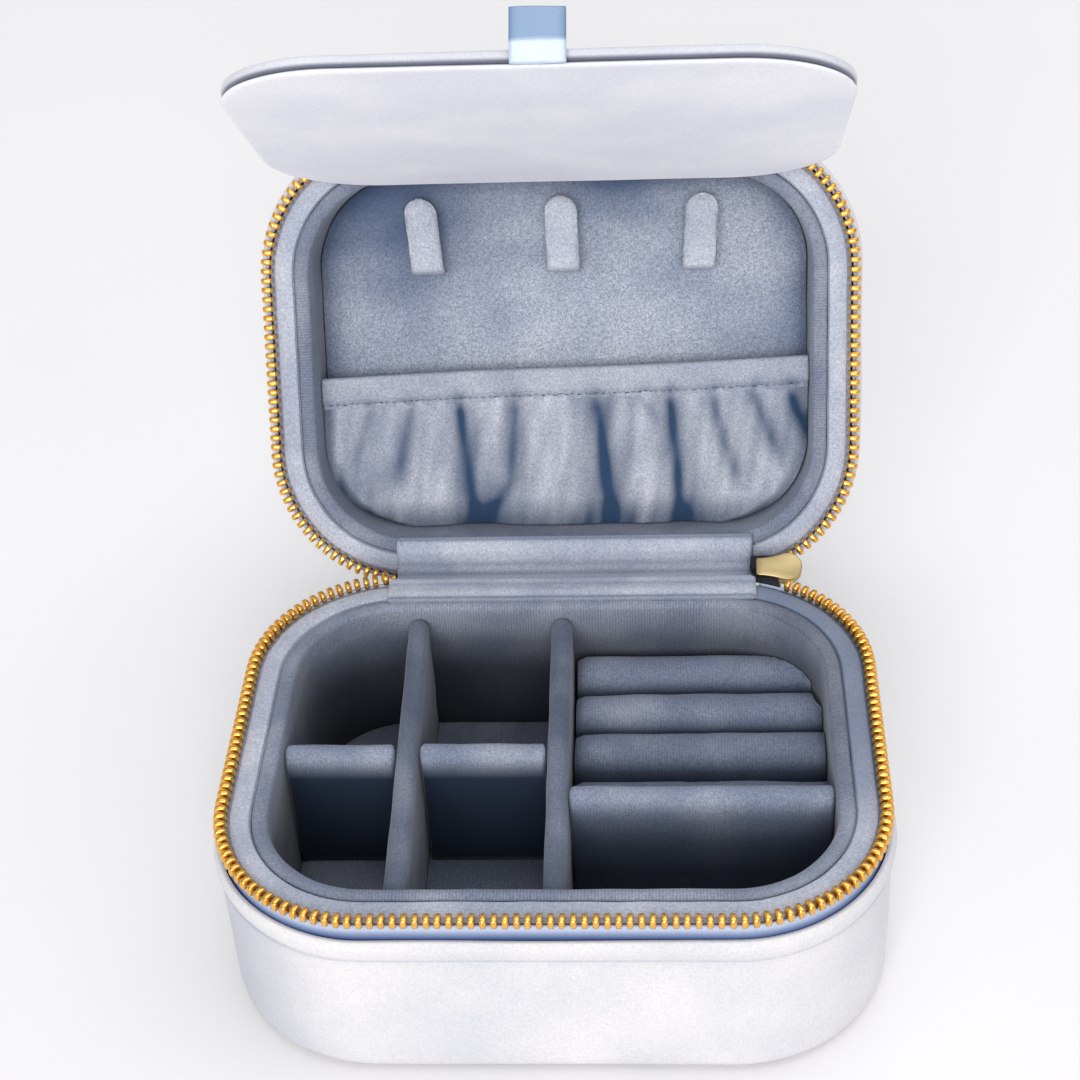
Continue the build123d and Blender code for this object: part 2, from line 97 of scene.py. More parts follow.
def rounded_outline(half_w, half_d, r):
    """A rounded rectangle from the middle of its back: each side's start and direction, or each
    corner's centre and first angle, after its kind and length."""
    hx, hy, quarter = half_w - r, half_d - r, r * math.pi / 2
    return [
        ("line", hx, (0, half_d), (-1, 0)), ("arc", quarter, (-hx, hy), 90),
        ("line", 2 * hy, (-half_w, hy), (0, -1)), ("arc", quarter, (-hx, -hy), 180),
        ("line", 2 * hx, (-hx, -half_d), (1, 0)), ("arc", quarter, (hx, -hy), 270),
        ("line", 2 * hy, (half_w, -hy), (0, 1)), ("arc", quarter, (hx, hy), 0),
        ("line", hx, (hx, half_d), (-1, 0)),
    ]


def outline_at(segments, r, s):
    """Point and outward normal at a length along a rounded outline."""
    for kind, length, at, way in segments:
        if s <= length:
            if kind == "line":
                return at[0] + way[0] * s, at[1] + way[1] * s, way[1], -way[0]
            a = math.radians(way + 90 * s / length)
            return at[0] + r * math.cos(a), at[1] + r * math.sin(a), math.cos(a), math.sin(a)
        s -= length
    return *segments[0][2], 0, 1


ZIP_LINE = rounded_outline(HALF_W, HALF_D, ZIP_R)
ZIP_LENGTH = sum(segment[1] for segment in ZIP_LINE)


def zip_at(s):
    """Point and outward normal at a length along the zip line, from the middle of the back."""
    return outline_at(ZIP_LINE, ZIP_R, s % ZIP_LENGTH)


def reach(along, half_along, half_across, inset):
    """Half the width that is left across the zip line's outline, at a place along it and an inset."""
    r = ZIP_R - inset
    over = max(abs(along) - (half_along - ZIP_R), 0.0)
    return half_across - ZIP_R + math.sqrt(max(r * r - over * over, 0.0))


# ---------------------------------------------------------------- mesh helpers

def smooth_step(t):
    t = min(max(t, 0.0), 1.0)
    return t * t * (3 - 2 * t)


def make(name, verts, faces, material, flow=None, shade=None, smooth=True):
    """A mesh object, with the attributes that the materials read: flow runs along the cloth in
    metres, shade is painted shade: how far the colour is darkened towards the material's deep colour."""
    mesh = bpy.data.meshes.new(name)
    mesh.from_pydata([tuple(v) for v in verts], [], faces)
    if flow:
        layer = mesh.attributes.new("flow", "FLOAT_VECTOR", "POINT")
        layer.data.foreach_set("vector", [c for f in flow for c in (f[0] * MM, f[1] * MM, 0)])
    if shade:
        layer = mesh.attributes.new("shade", "FLOAT", "POINT")
        layer.data.foreach_set("value", shade)
    mesh.materials.append(material)
    obj = bpy.data.objects.new(name, mesh)
    scene.collection.objects.link(obj)
    bm = bmesh.new()
    bm.from_mesh(mesh)
    bmesh.ops.recalc_face_normals(bm, faces=bm.faces)
    bm.to_mesh(mesh)
    bm.free()
    for p in mesh.polygons:
        p.use_smooth = smooth
    return obj


def grid(rows, m, first=0, round_rows=False, round_cols=True):
    """Quads over rows of m points. The rows, and the points in a row, can close on themselves."""
    faces = []
    for i in range(rows if round_rows else rows - 1):
        a, b = first + i * m, first + (i + 1) % rows * m
        for j in range(m if round_cols else m - 1):
            k = (j + 1) % m
            faces.append((a + j, a + k, b + k, b + j))
    return faces


def end_faces(rows, m, first=0):
    last = first + (rows - 1) * m
    return [tuple(range(first, first + m)), tuple(range(last, last + m))]


def closed_tube(rows, m, first=0):
    return grid(rows, m, first) + end_faces(rows, m, first)


def thin_sheet(rows, m):
    """Rows of m points on a sheet's front, then the same on its back, and the rim between them."""
    back = rows * m
    faces = grid(rows, m, round_cols=False) + grid(rows, m, back, round_cols=False)
    for i in range(rows - 1):
        for a in (i * m, i * m + m - 1):
            faces.append((a, a + m, back + a + m, back + a))
    for j in range(m - 1):
        for a in (j, (rows - 1) * m + j):
            faces.append((a, a + 1, back + a + 1, back + a))
    return faces


def along_path(path, j):
    """The normal of a path of (a, b) points at point j."""
    way = path[min(j + 1, len(path) - 1)] - path[max(j - 1, 0)]
    return Vector((-way.y, way.x)).normalized()


def soft_path(corners, closed=False, steps=5):
    """A path through corners (a, b, radius), with each corner rounded."""
    out, count = [], len(corners)
    for i, (a, b, r) in enumerate(corners):
        here = Vector((a, b))
        if r == 0 or (not closed and i in (0, count - 1)):
            out.append(here)
            continue
        before, after = Vector(corners[i - 1][:2]), Vector(corners[(i + 1) % count][:2])
        u, v = (before - here).normalized(), (after - here).normalized()
        cut = r / math.tan(max(u.angle(v) / 2, 0.05))
        cut = min(cut, 0.49 * (before - here).length, 0.49 * (after - here).length)
        start, end = here + u * cut, here + v * cut
        for k in range(steps + 1):
            t = k / steps
            out.append(start.lerp(here, t).lerp(here.lerp(end, t), t))
    return out


def dense(path, step, closed=False):
    """The same path with its long stretches divided."""
    out, count = [], len(path)
    for i in range(count if closed else count - 1):
        a, b = path[i], path[(i + 1) % count]
        n = max(1, int((b - a).length / step))
        out += [a.lerp(b, k / n) for k in range(n)]
    return out if closed else out + [path[-1]]


def lengths(path):
    out = [0.0]
    for a, b in zip(path, path[1:]):
        out.append(out[-1] + (b - a).length)
    return out


def roughen(obj, amount, size, seed=0.0):
    """Move each point a little along its normal, so that cloth is never dead flat."""
    mesh = obj.data
    normals = [v.normal.copy() for v in mesh.vertices]
    offset = Vector((seed, seed * 1.7, -seed))
    for v, n in zip(mesh.vertices, normals):
        v.co += n * noise.noise(v.co / (size * MM) + offset) * amount * MM
    mesh.update()
    return obj


CAP_RINGS = (0.85, 0.7, 0.55, 0.4, 0.2)


def sweep(name, point, profile, material, step=2.0, start=0.0, end=None, loop=True, caps=False,
          shade=None, wave=None):
    """Sweep a profile of (inset, depth) round the zip line.

    loop closes the profile on itself, and caps fills the middle at both of its ends.
    """
    whole = end is None
    span = ZIP_LENGTH if whole else end - start
    count = max(8, round(span / step))
    stops = [start + span * i / count for i in range(count + (0 if whole else 1))]
    run = lengths(profile)
    verts, flow, dark = [], [], []
    for s in stops:
        x, y, nx, ny = zip_at(s)
        for j, (inset, depth) in enumerate(profile):
            if wave:
                inset, depth = wave(s, j, inset, depth)
            verts.append(point(x - nx * inset, y - ny * inset, depth))
            flow.append((s, run[j]))
            dark.append(shade(inset, depth, s) if shade else 0.0)
    rows, m = len(stops), len(profile)
    faces = grid(rows, m, round_rows=whole, round_cols=loop)
    if not whole and loop:
        faces += end_faces(rows, m)
    for j in (0, m - 1) if caps else ():
        edge = [i * m + j for i in range(rows)]
        middle = sum((verts[i] for i in edge), Vector()) / rows
        last = edge
        for share in CAP_RINGS:
            first = len(verts)
            verts += [middle.lerp(verts[i], share) for i in edge]
            inner = list(range(first, first + rows))
            faces += [(last[i], last[(i + 1) % rows], inner[(i + 1) % rows], inner[i])
                      for i in range(rows)]
            last = inner
        verts.append(middle)
        faces += [(last[i], last[(i + 1) % rows], len(verts) - 1) for i in range(rows)]
        flow += [(v.x / MM, v.y / MM) for v in verts[len(flow):]]
        dark += [0.0] * (len(verts) - len(dark))
    return make(name, verts, faces, material, flow, dark)


CLOTH_SCALE, CLOTH_FRAMES, CLOTH_PRESSURE, CLOTH_SHARE = 10, 20, 4.0, 0.98


def puff(obj, cap, hold):
    """Cloth pressure moves a closed pad's points, and gives a pattern of swelling.

    The simulated moves are far larger than a real pad's. They are scaled down until CLOTH_SHARE
    of them are within cap millimetres, and the others are cut off there.
    hold(x, y, z), in millimetres, is 0 where the pad is sewn down and 1 where it is free.
    """
    mesh = obj.data
    rest = [v.co.copy() for v in mesh.vertices]
    for v in mesh.vertices:
        v.co *= CLOTH_SCALE
    cloth = obj.modifiers.new("Cloth", "CLOTH")
    cloth.settings.use_pressure = True
    cloth.settings.uniform_pressure_force = CLOTH_PRESSURE
    cloth.settings.effector_weights.gravity = 0
    cloth.settings.quality = 4
    cloth.point_cache.frame_end = CLOTH_FRAMES
    for f in range(1, CLOTH_FRAMES + 1):
        scene.frame_set(f)
    done = obj.evaluated_get(bpy.context.evaluated_depsgraph_get()).to_mesh()
    moves = [d.co / CLOTH_SCALE - r for d, r in zip(done.vertices, rest)]
    obj.modifiers.remove(cloth)
    scene.frame_set(1)
    far = sorted(m.length for m in moves)[int(len(moves) * CLOTH_SHARE)] or 1.0
    scale = min(1.0, cap * MM / far)
    for v, r, m in zip(mesh.vertices, rest, moves):
        m = m * scale
        if m.length > cap * MM:
            m *= cap * MM / m.length
        v.co = r + m * hold(*(r / MM))
    mesh.update()


# ---------------------------------------------------------------- materials

# The record's slot of each look that isn't named after its slot
SLOTS = {"panel_velvet": "lining_velvet", "pocket_velvet": "lining_velvet", "divider_velvet": "lining_velvet",
         "brushed_gold": "gold_metal", "thread": "lining_velvet"}


def rgb(r, g, b):
    """A colour given as it looks on screen, 0 to 255."""
    return tuple((c / 255 / 12.92) if c <= 10 else ((c / 255 + 0.055) / 1.055) ** 2.4
                 for c in (r, g, b)) + (1.0,)


class Look:
    """A material, with short ways to add nodes to it."""

    def __init__(self, name):
        self.material = bpy.data.materials.new(name)
        self.material["slot"] = SLOTS.get(name, name)
        self.material.use_nodes = True
        self.nodes, self.links = self.material.node_tree.nodes, self.material.node_tree.links
        self.shader = self.nodes["Principled BSDF"].inputs

    def feed(self, socket, value):
        """Link another node's output to a socket, or set its constant."""
        if isinstance(value, bpy.types.NodeSocket):
            self.links.new(value, socket)
        else:
            socket.default_value = value

    def noise(self, scale, detail=2.0, stretch=None):
        source = self.nodes.new("ShaderNodeTexCoord").outputs["Object"]
        if stretch:
            mapping = self.nodes.new("ShaderNodeMapping")
            mapping.inputs["Scale"].default_value = stretch
            self.feed(mapping.inputs["Vector"], source)
            source = mapping.outputs["Vector"]
        tex = self.nodes.new("ShaderNodeTexNoise")
        tex.inputs["Scale"].default_value = scale
        tex.inputs["Detail"].default_value = detail
        self.feed(tex.inputs["Vector"], source)
        return tex.outputs["Fac"]

    def math(self, op, *values, clamp=False):
        node = self.nodes.new("ShaderNodeMath")
        node.operation, node.use_clamp = op, clamp
        for socket, value in zip(node.inputs, values):
            self.feed(socket, value)
        return node.outputs[0]

    def ramp(self, source, *stops):
        node = self.nodes.new("ShaderNodeValToRGB")
        marks = node.color_ramp.elements
        for mark, (at, colour) in zip(marks, stops):
            mark.position, mark.color = at, colour
        self.feed(node.inputs["Fac"], source)
        return node.outputs["Color"]

    def mix(self, kind, fac, a, b):
        node = self.nodes.new("ShaderNodeMix")
        node.data_type, node.blend_type = "RGBA", kind
        for place_in, value in ((0, fac), (6, a), (7, b)):
            self.feed(node.inputs[place_in], value)
        return node.outputs[2]

    def attribute(self, name, output):
        node = self.nodes.new("ShaderNodeAttribute")
        node.attribute_name = name
        return node.outputs[output]

    def wave(self, axis, pitch):
        """A sine of the flow attribute along an axis, from -1 to 1."""
        parts = self.nodes.new("ShaderNodeSeparateXYZ")
        self.feed(parts.inputs[0], self.attribute("flow", "Vector"))
        return self.math("SINE", self.math("MULTIPLY", parts.outputs[axis], 2 * math.pi / pitch))

    def bump(self, height, strength, distance):
        node = self.nodes.new("ShaderNodeBump")
        node.inputs["Strength"].default_value = strength
        node.inputs["Distance"].default_value = distance
        self.feed(node.inputs["Height"], height)
        self.feed(self.shader["Normal"], node.outputs["Normal"])


def grey(value):
    return (value, value, value, 1)


RIB_PITCH = 0.00078


def velvet(name, light, dark, deep, sheen, grain, rib=0.0, patch=(0.42, 0.62), nap=45.0):
    """Short-pile velvet: nap patches, a speckled pile, painted shade towards the deep colour where the shade
    attribute says, and faint ribs.
    """
    look = Look(name)
    colour = look.ramp(look.noise(nap, 3.0), (patch[0], dark), (patch[1], light))
    pile = look.math("ADD", look.math("MULTIPLY", look.noise(2300.0, 1.0), 0.6),
                     look.math("MULTIPLY", look.noise(1300.0), 0.4))
    speckle = look.ramp(pile, (0.36, grey(1 - grain * 1.6)), (0.66, grey(1 + grain * 0.9)))
    colour = look.mix("MULTIPLY", 1.0, colour, speckle)
    height = pile
    if rib:
        ridge = look.math("MULTIPLY_ADD", look.wave(0, RIB_PITCH), 0.5, 0.5)
        colour = look.mix("MULTIPLY", 1.0, colour, look.ramp(ridge, (0.0, grey(1 - rib)), (0.8, grey(1))))
        height = look.math("ADD", height, look.math("MULTIPLY", ridge, 0.5))
    # Painted shade: the shade attribute mixes the colour towards deep.
    amount = look.math("MULTIPLY", look.attribute("shade", "Fac"), 1.0, clamp=True)
    look.feed(look.shader["Base Color"], look.mix("MIX", amount, colour, deep))
    look.bump(height, 0.35, 0.00025)
    look.shader["Roughness"].default_value = 0.92
    look.shader["Specular IOR Level"].default_value = 0.12
    look.shader["Sheen Weight"].default_value = sheen
    look.shader["Sheen Roughness"].default_value = 0.45
    look.shader["Sheen Tint"].default_value = (0.86, 0.9, 1.0, 1)
    return look.material


# Each velvet's third colour is deep, the colour that painted shade mixes towards.
outer_velvet = velvet("outer_velvet", rgb(214, 213, 215), rgb(200, 201, 207), rgb(128, 136, 158),
                      0.2, 0.06, patch=(0.32, 0.64), nap=30.0)
flap_velvet = velvet("flap_velvet", rgb(232, 231, 236), rgb(219, 220, 229), rgb(96, 102, 122),
                     0.3, 0.05, patch=(0.35, 0.6), nap=30.0)
rim_velvet = velvet("rim_velvet", rgb(186, 190, 203), rgb(164, 171, 189), rgb(84, 98, 124), 0.3, 0.16)
lining_velvet = velvet("lining_velvet", rgb(146, 152, 168), rgb(122, 130, 150), rgb(18, 22, 30),
                       0.22, 0.16, rib=0.2)
panel_velvet = velvet("panel_velvet", rgb(178, 184, 198), rgb(150, 160, 180), rgb(62, 82, 114),
                      0.25, 0.26, patch=(0.34, 0.66), nap=40.0)
pocket_velvet = velvet("pocket_velvet", rgb(196, 199, 210), rgb(172, 178, 194), rgb(46, 68, 98),
                       0.28, 0.18, patch=(0.36, 0.62))
divider_velvet = velvet("divider_velvet", rgb(154, 161, 178), rgb(126, 136, 158), rgb(26, 38, 58),
                        0.25, 0.18, rib=0.12)


def metal(name, colour, rough, stretch=None):
    look = Look(name)
    grain = look.noise(900.0, 3.0, stretch)
    look.shader["Base Color"].default_value = colour
    look.shader["Metallic"].default_value = 1.0
    worn = tuple(c * 0.82 for c in colour[:3]) + (1,)
    look.feed(look.shader["Base Color"], look.ramp(grain, (0.3, worn), (0.7, colour)))
    look.feed(look.shader["Roughness"], look.math("MULTIPLY_ADD", grain, 0.2, rough))
    look.bump(grain, 0.12, 0.0001)
    return look.material


gold = metal("gold_metal", rgb(250, 192, 98), 0.16)
brushed_gold = metal("brushed_gold", rgb(196, 176, 130), 0.3, (1.0, 14.0, 14.0))


def woven(name, colour, dark, pitch=0.0007, gloss=0.7, deep=None):
    """A woven tape or board cover: crossing threads along flow, and painted shade towards deep where the
    shade attribute says.
    """
    look = Look(name)
    cross = look.math("MULTIPLY", look.wave(0, pitch), look.wave(1, pitch))
    threads = look.math("MULTIPLY_ADD", cross, 0.5, 0.5)
    height = look.math("MULTIPLY", look.math("ADD", threads, look.noise(1200.0)), 0.5)
    tint = look.ramp(height, (0.2, dark), (0.7, colour))
    if deep:
        tint = look.mix("MIX", look.attribute("shade", "Fac"), tint, deep)
    look.feed(look.shader["Base Color"], tint)
    look.bump(height, 0.4, 0.00015)
    look.shader["Roughness"].default_value = gloss
    return look.material


# The tape's and the satin's deep colour is the one that painted shade mixes towards.
zip_tape = woven("zip_tape", rgb(190, 200, 220), rgb(150, 166, 196), deep=rgb(70, 94, 142))
# The board look is near-black as painted shade: the cores show only in the gap between the teeth and the rim
# band, where shade falls, and the zip's ends use it too.
board = woven("board", rgb(24, 28, 38), rgb(12, 14, 20), 0.0009, 0.9)
elastic = woven("elastic", rgb(226, 228, 232), rgb(176, 180, 190), 0.0011)
satin = woven("satin", rgb(206, 216, 230), rgb(176, 196, 220), 0.0004, 0.3, rgb(92, 126, 162))
thread = woven("thread", rgb(84, 98, 132), rgb(48, 60, 90), 0.0003)


def glass():
    look = Look("mirror")
    look.shader["Base Color"].default_value = (0.9, 0.92, 0.94, 1)
    look.shader["Metallic"].default_value = 1.0
    look.feed(look.shader["Roughness"], look.math("MULTIPLY", look.noise(60.0), 0.05))
    return look.material


mirror = glass()


def place(obj, body, *nodes):
    """Ride on a body, and stand for CAD nodes."""
    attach(obj, body)
    if nodes:
        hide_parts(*nodes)
    return obj


def clothe(node_name, material):
    """Give a CAD node that is shown as it is its material."""
    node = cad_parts[node_name]
    node.data.materials.clear()
    node.data.materials.append(material)


# ---------------------------------------------------------------- covers, bindings, tapes

BINDING_LEFT = HALF_W - ZIP_R + 4.6
BINDING_RIGHT = ZIP_LENGTH - (HALF_W - ZIP_R) - 9.5


def cover_shade(inset, depth, s):
    """Painted shade in the seam under the cover's edge, and towards the left side, which gets less light."""
    seam = math.exp(-((depth - COVER_TOP - 0.3) / 0.35) ** 2)
    x = zip_at(s)[0]
    return 0.45 * seam + 0.35 * smooth_step((-x - 45) / 35) if inset < -1 else 0.0


def roll_wave(s, j, inset, depth):
    """The binding wanders a little, so that it isn't dead straight."""
    return inset + 0.12 * math.sin(s / 9.0 + 2 * math.sin(s / 31)), depth + 0.1 * math.sin(s / 17.0)


def tape_shade(inset, depth, s):
    # Painted shade: the tape darkens downwards from below the teeth towards the binding.
    return smooth_step((depth - 3.6) / 3.6)


def back_right(s, x_from, x_run, y_from, y_run):
    """From 0 to 1 towards the back right corner."""
    x, y, nx, ny = zip_at(s)
    return smooth_step((x - x_from) / x_run) * smooth_step((y - y_from) / y_run)


def band_edge_shade(inset):
    # Painted shade in the grooves at the band's outer and inner edges, by the teeth and the lining.
    return 0.45 * smooth_step((abs(inset - 4.5) - 1.8) / 0.9) ** 2


def base_band_shade(inset, depth, s):
    # Painted shade: the edge grooves, the back right where the pile catches less light, and a touch at the
    # front.
    front = 0.06 * smooth_step((-zip_at(s)[1] - 50) / 12)
    return band_edge_shade(inset) + 0.72 * back_right(s, 30, 30, -62, 70) + front


def lid_band_shade(inset, depth, s):
    return band_edge_shade(inset)


def ring_shade(inset):
    """Painted shade where the rolled inner ring meets the rim band."""
    return 0.4 * smooth_step(max(0.0, LINER_OUT + 0.8 - inset) / 0.8)


def base_wall_shade(inset, depth, s):
    # Painted shade: the ring top darkens at its join with the band and towards the back right, and the wall
    # darkens with depth, where less light reaches.
    if depth < RIM_DEPTH + 1.5:
        return ring_shade(inset) + 0.3 * back_right(s, 40, 25, -40, 60)
    top, middle, low = (smooth_step((depth - at) / run) for at, run in ((4, 3), (6, 10), (12, 14)))
    return 0.14 * top + 0.46 * middle + 0.28 * low


def lid_wall_shade(inset, depth, s):
    # Painted shade: dark at the ring's join with the band, and darker with depth down the wall.
    if depth < RIM_DEPTH + 1.5:
        return ring_shade(inset)
    return 0.25 * smooth_step((depth - 6) / (LID_WALL_END - 8))


BASE_WALL_END, LID_WALL_END = 47.4, 24.7
HALVES = (("base", base_point, BASE_H, BASE_WALL_END, base_band_shade, base_wall_shade),
          ("lid", lid_point, LID_H, LID_WALL_END, lid_band_shade, lid_wall_shade))
for half, point, height, wall_end, band_shade, wall_shade in HALVES:
    inner = height - 1.5
    tub = soft_path([
        (30, inner, 0), (-0.5, inner, 2.5), (-0.5, COVER_TOP - 0.2, 0.4), (-1.5, COVER_TOP - 0.6, 0.5),
        (-2.0, COVER_TOP + 0.6, 0.8), (-2.1, height - 12, 6), (-2.0, height, 4.2), (30, height, 0),
    ])
    shell = sweep(half + "_cover_velvet", point, dense(tub, 2.0), outer_velvet, 2.0, loop=False, caps=True,
                  shade=cover_shade)
    place(roughen(shell, 0.25, 26, 3.0), half, half + "_cover")

    # Rolled binding round the cover's edge
    roll = soft_path([
        (-0.6, BINDING_TOP + 0.4, 0.5), (-1.9, BINDING_TOP, 0.9), (-2.6, BINDING_TOP + 2.2, 1.6),
        (-2.55, COVER_TOP - 2.4, 1.6), (-2.0, COVER_TOP - 0.1, 0.6), (-0.6, COVER_TOP - 0.4, 0.3),
    ], closed=True)
    binding = sweep(half + "_binding_velvet", point, roll, outer_velvet, 1.6, BINDING_LEFT,
                    BINDING_RIGHT, wave=roll_wave)
    place(binding, half, half + "_edge_binding")

    # Woven tape between the binding and the teeth
    strip = dense(soft_path([(-0.35, 3.1, 0), (-0.35, 12.4, 0), (0.3, 12.4, 0), (0.3, 3.1, 0)]), 1.2, True)
    tape = sweep(half + "_tape_woven", point, strip, zip_tape, 1.2, BINDING_LEFT, BINDING_RIGHT - 1.0,
                 shade=tape_shade)
    place(tape, half, half + "_zip_tape")

    # Padded rim band: the outer ring of the rim
    band = soft_path([
        (0.9, 4.3, 0.1), (0.9, RIM_DEPTH + 0.8, 0.1), (BAND_OUT - 0.2, RIM_DEPTH + 0.6, 0.2),
        (BAND_OUT - 0.1, RIM_DEPTH + 0.1, 0.9), (4.4, RIM_DEPTH - 0.15, 2.0),
        (BAND_IN - 0.1, RIM_DEPTH + 0.1, 0.7), (BAND_IN, RIM_DEPTH + 0.75, 0.1),
        (LINER_OUT + 0.02, RIM_DEPTH + 0.8, 0), (LINER_OUT + 0.02, 4.3, 0),
    ], closed=True)
    rim = sweep(half + "_rim_velvet", point, dense(band, 0.7, True), rim_velvet, 1.6, shade=band_shade)
    place(roughen(rim, 0.16, 7, 5.0), half, half + "_rim_band")

    # Lining wall, with the rolled inner ring as its top edge
    wall = soft_path([
        (LINER_OUT + 0.1, wall_end, 0.2), (LINER_OUT + 0.1, RIM_DEPTH + 0.3, 1.1),
        (LINER_OUT + 2.1, RIM_DEPTH - 0.2, 1.6), (LINER_IN, RIM_DEPTH + 0.5, 1.5), (LINER_IN, wall_end, 0.2),
    ], closed=True)
    lining = sweep(half + "_lining_velvet", point, dense(wall, 1.4, True), lining_velvet, 1.6,
                   shade=wall_shade)
    place(roughen(lining, 0.14, 9, 8.0), half, half + "_lining")

# The cores take the near-black board look, as painted shade in the gap between the teeth and the rim band.
clothe("base_core", board)
clothe("lid_core", board)


# ---------------------------------------------------------------- zip teeth

TEETH_LEFT, BASE_TEETH_RIGHT, LID_TEETH_RIGHT, STOP_X = -49.95, 59.5, 61.5, -48.5
TOOTH_RINGS, TOOTH_SIDES = 9, 12


def power(value, exponent):
    """A power that keeps the sign: below 1 it squares a round shape up."""
    return math.copysign(abs(value) ** exponent, value)


def tooth_shape():
    """One cast tooth: a rounded knob, waisted where it grips the tape."""
    verts = []
    for i in range(TOOTH_RINGS):
        t = math.pi * i / (TOOTH_RINGS - 1)
        flat = math.sin(t) ** 0.45 if 0 < i < TOOTH_RINGS - 1 else 0.0
        w = -power(math.cos(t), 0.5)
        waist = 1.0 - 0.22 * math.exp(-((w - 0.35) / 0.35) ** 2)
        for k in range(TOOTH_SIDES):
            a = 2 * math.pi * k / TOOTH_SIDES
            u, v = power(math.cos(a), 0.55) * flat, power(math.sin(a), 0.42) * flat
            verts.append((u * 0.86 * waist, v * 1.7 * (1 - 0.12 * (w < -0.3)), w * 1.4))
    return verts


def zip_teeth(half, point, right_end):
    shape = tooth_shape()
    count = round(ZIP_LENGTH / TOOTH_PITCH)
    verts, faces = [], []
    for n in range(count):
        x, y, nx, ny = zip_at(ZIP_LENGTH * n / count)
        if y > 0 and TEETH_LEFT < x < right_end:
            continue
        turn = 0.05 * math.sin(n * 2.3)
        c, s = math.cos(turn), math.sin(turn)
        faces += grid(TOOTH_RINGS, TOOTH_SIDES, len(verts))
        for u, v, w in shape:
            u, v = u * c - v * s, u * s + v * c
            verts.append(point(x - ny * u + nx * v, y + nx * u + ny * v, TOOTH_DEPTH + w))
    place(make(half + "_teeth_gold", verts, faces, gold), half, half + "_zip_teeth")


def zip_stop(half, point):
    verts = [point(STOP_X + u, HALF_D + v, TOOTH_DEPTH + w) for u, v, w in tooth_shape()]
    place(make(half + "_stop_gold", verts, grid(TOOTH_RINGS, TOOTH_SIDES), gold), half, half + "_zip_stop")


zip_teeth("base", base_point, BASE_TEETH_RIGHT)
zip_teeth("lid", lid_point, LID_TEETH_RIGHT)
zip_stop("base", base_point)
zip_stop("lid", lid_point)


# ---------------------------------------------------------------- floor pad and back panel

PAD_RINGS, PAD_AROUND, PAD_EDGE = 16, 180, 0.035


def field(name, point, inset, depth, thick, material, crown, shade):
    """A closed pad that fills the outline: a grid of rings from the edge to the middle."""
    verts, flow, dark = [], [], []

    def ring(share, level):
        for k in range(PAD_AROUND):
            x, y, nx, ny = zip_at(ZIP_LENGTH * k / PAD_AROUND)
            x, y = (x - nx * inset) * share, (y - ny * inset) * share
            verts.append(point(x, y, level))
            flow.append((x, y))
            dark.append(shade(x, y, share))

    edge = [1 - PAD_EDGE * i / 4 for i in range(5)]
    middle = [(1 - PAD_EDGE) * (1 - i / PAD_RINGS) for i in range(1, PAD_RINGS)]
    for share in reversed(edge + middle):
        soft = 0.8 * smooth_step((share - 1 + PAD_EDGE) / PAD_EDGE)
        ring(share, depth - crown * (1 - share ** 4) + soft)
    ring(1.0, depth + thick)
    return make(name, verts, closed_tube(len(verts) // PAD_AROUND, PAD_AROUND), material, flow, dark)


floor_pad = field("base_floor_velvet", base_point, LINER_IN + 0.3, BASE_FLOOR + 0.3, 3.6, lining_velvet, 0.3,
                  shade=lambda x, y, share: 0.2)
place(roughen(floor_pad, 0.2, 14, 2.0), "base", "base_floor_pad")


def panel_shade(x, y, share):
    """Painted shade: darker round the panel's edge and under the flap, where less light reaches, and in two
    dark patches at the left and near the middle; the streaks vary at random.
    """
    edge = smooth_step((share - 0.84) / 0.16)
    left = math.exp(-((x + 42) / 22) ** 2 - ((y + 36) / 20) ** 2)
    middle = math.exp(-((x - 16) / 14) ** 2 - ((y + 44) / 12) ** 2)
    streak = 0.5 + noise.noise(Vector((x / 40 + y / 60, y / 9, 4.0)))
    patches = 0.75 * (left + 0.6 * middle)
    return min(0.9, 0.4 * edge + patches + 0.2 * streak * smooth_step((share - 0.2) / 0.5))


back_panel = field("lid_back_velvet", lid_point, LINER_IN + 0.3, LID_PANEL + 0.2, 2.0, panel_velvet, 0.6,
                   shade=panel_shade)
place(roughen(back_panel, 0.35, 22, 6.0), "lid", "lid_back_panel")


# ---------------------------------------------------------------- dividers

def divider_shade(below, along, side, cross):
    """Painted shade: light on the round top, then dark down the faces, sooner on a cross divider's face; the
    long dividers get more painted shade overall, more towards their back ends, for how their pile faces the
    light.
    """
    if cross == "dark":
        return 0.04 + 0.45 * smooth_step((below - 2.2) / 2.4) + 0.5 * smooth_step((below - 4) / 4)
    if cross == "brown":
        return 0.04 + 0.5 * smooth_step((below - 3.2) / 3.0) + 0.3 * smooth_step((below - 5) / 12)
    # nap is painted shade from how the pile faces the light, darker towards the back end.
    nap = 0.18 * smooth_step((along - 20) / 30) + 0.1 * math.sin(along / 9.0 + side)
    face = 0.36 * smooth_step((below - 1.6) / 5) + 0.26 * smooth_step((below - 8) / 16)
    return min(1.0, 0.48 + nap + face)


DIVIDER_TOP, DIVIDER_BOTTOM = 5.8, BASE_FLOOR - 0.3


def rounded_rows(length, end):
    """Places along a board and its width at each, from 0 to 1, with both ends rounded in plan."""
    angles = [math.pi / 2 * k / 5 for k in range(6)]
    tips = [(length / 2 - end * (1 - math.cos(a)), 0.35 + 0.65 * math.sin(a)) for a in angles]
    span = length - 2 * end
    middle = max(4, int(span / 2.5))
    rows = [(-along, width) for along, width in tips]
    rows += [(-length / 2 + end + span * k / middle, 1.0) for k in range(1, middle)]
    return rows + tips[::-1]


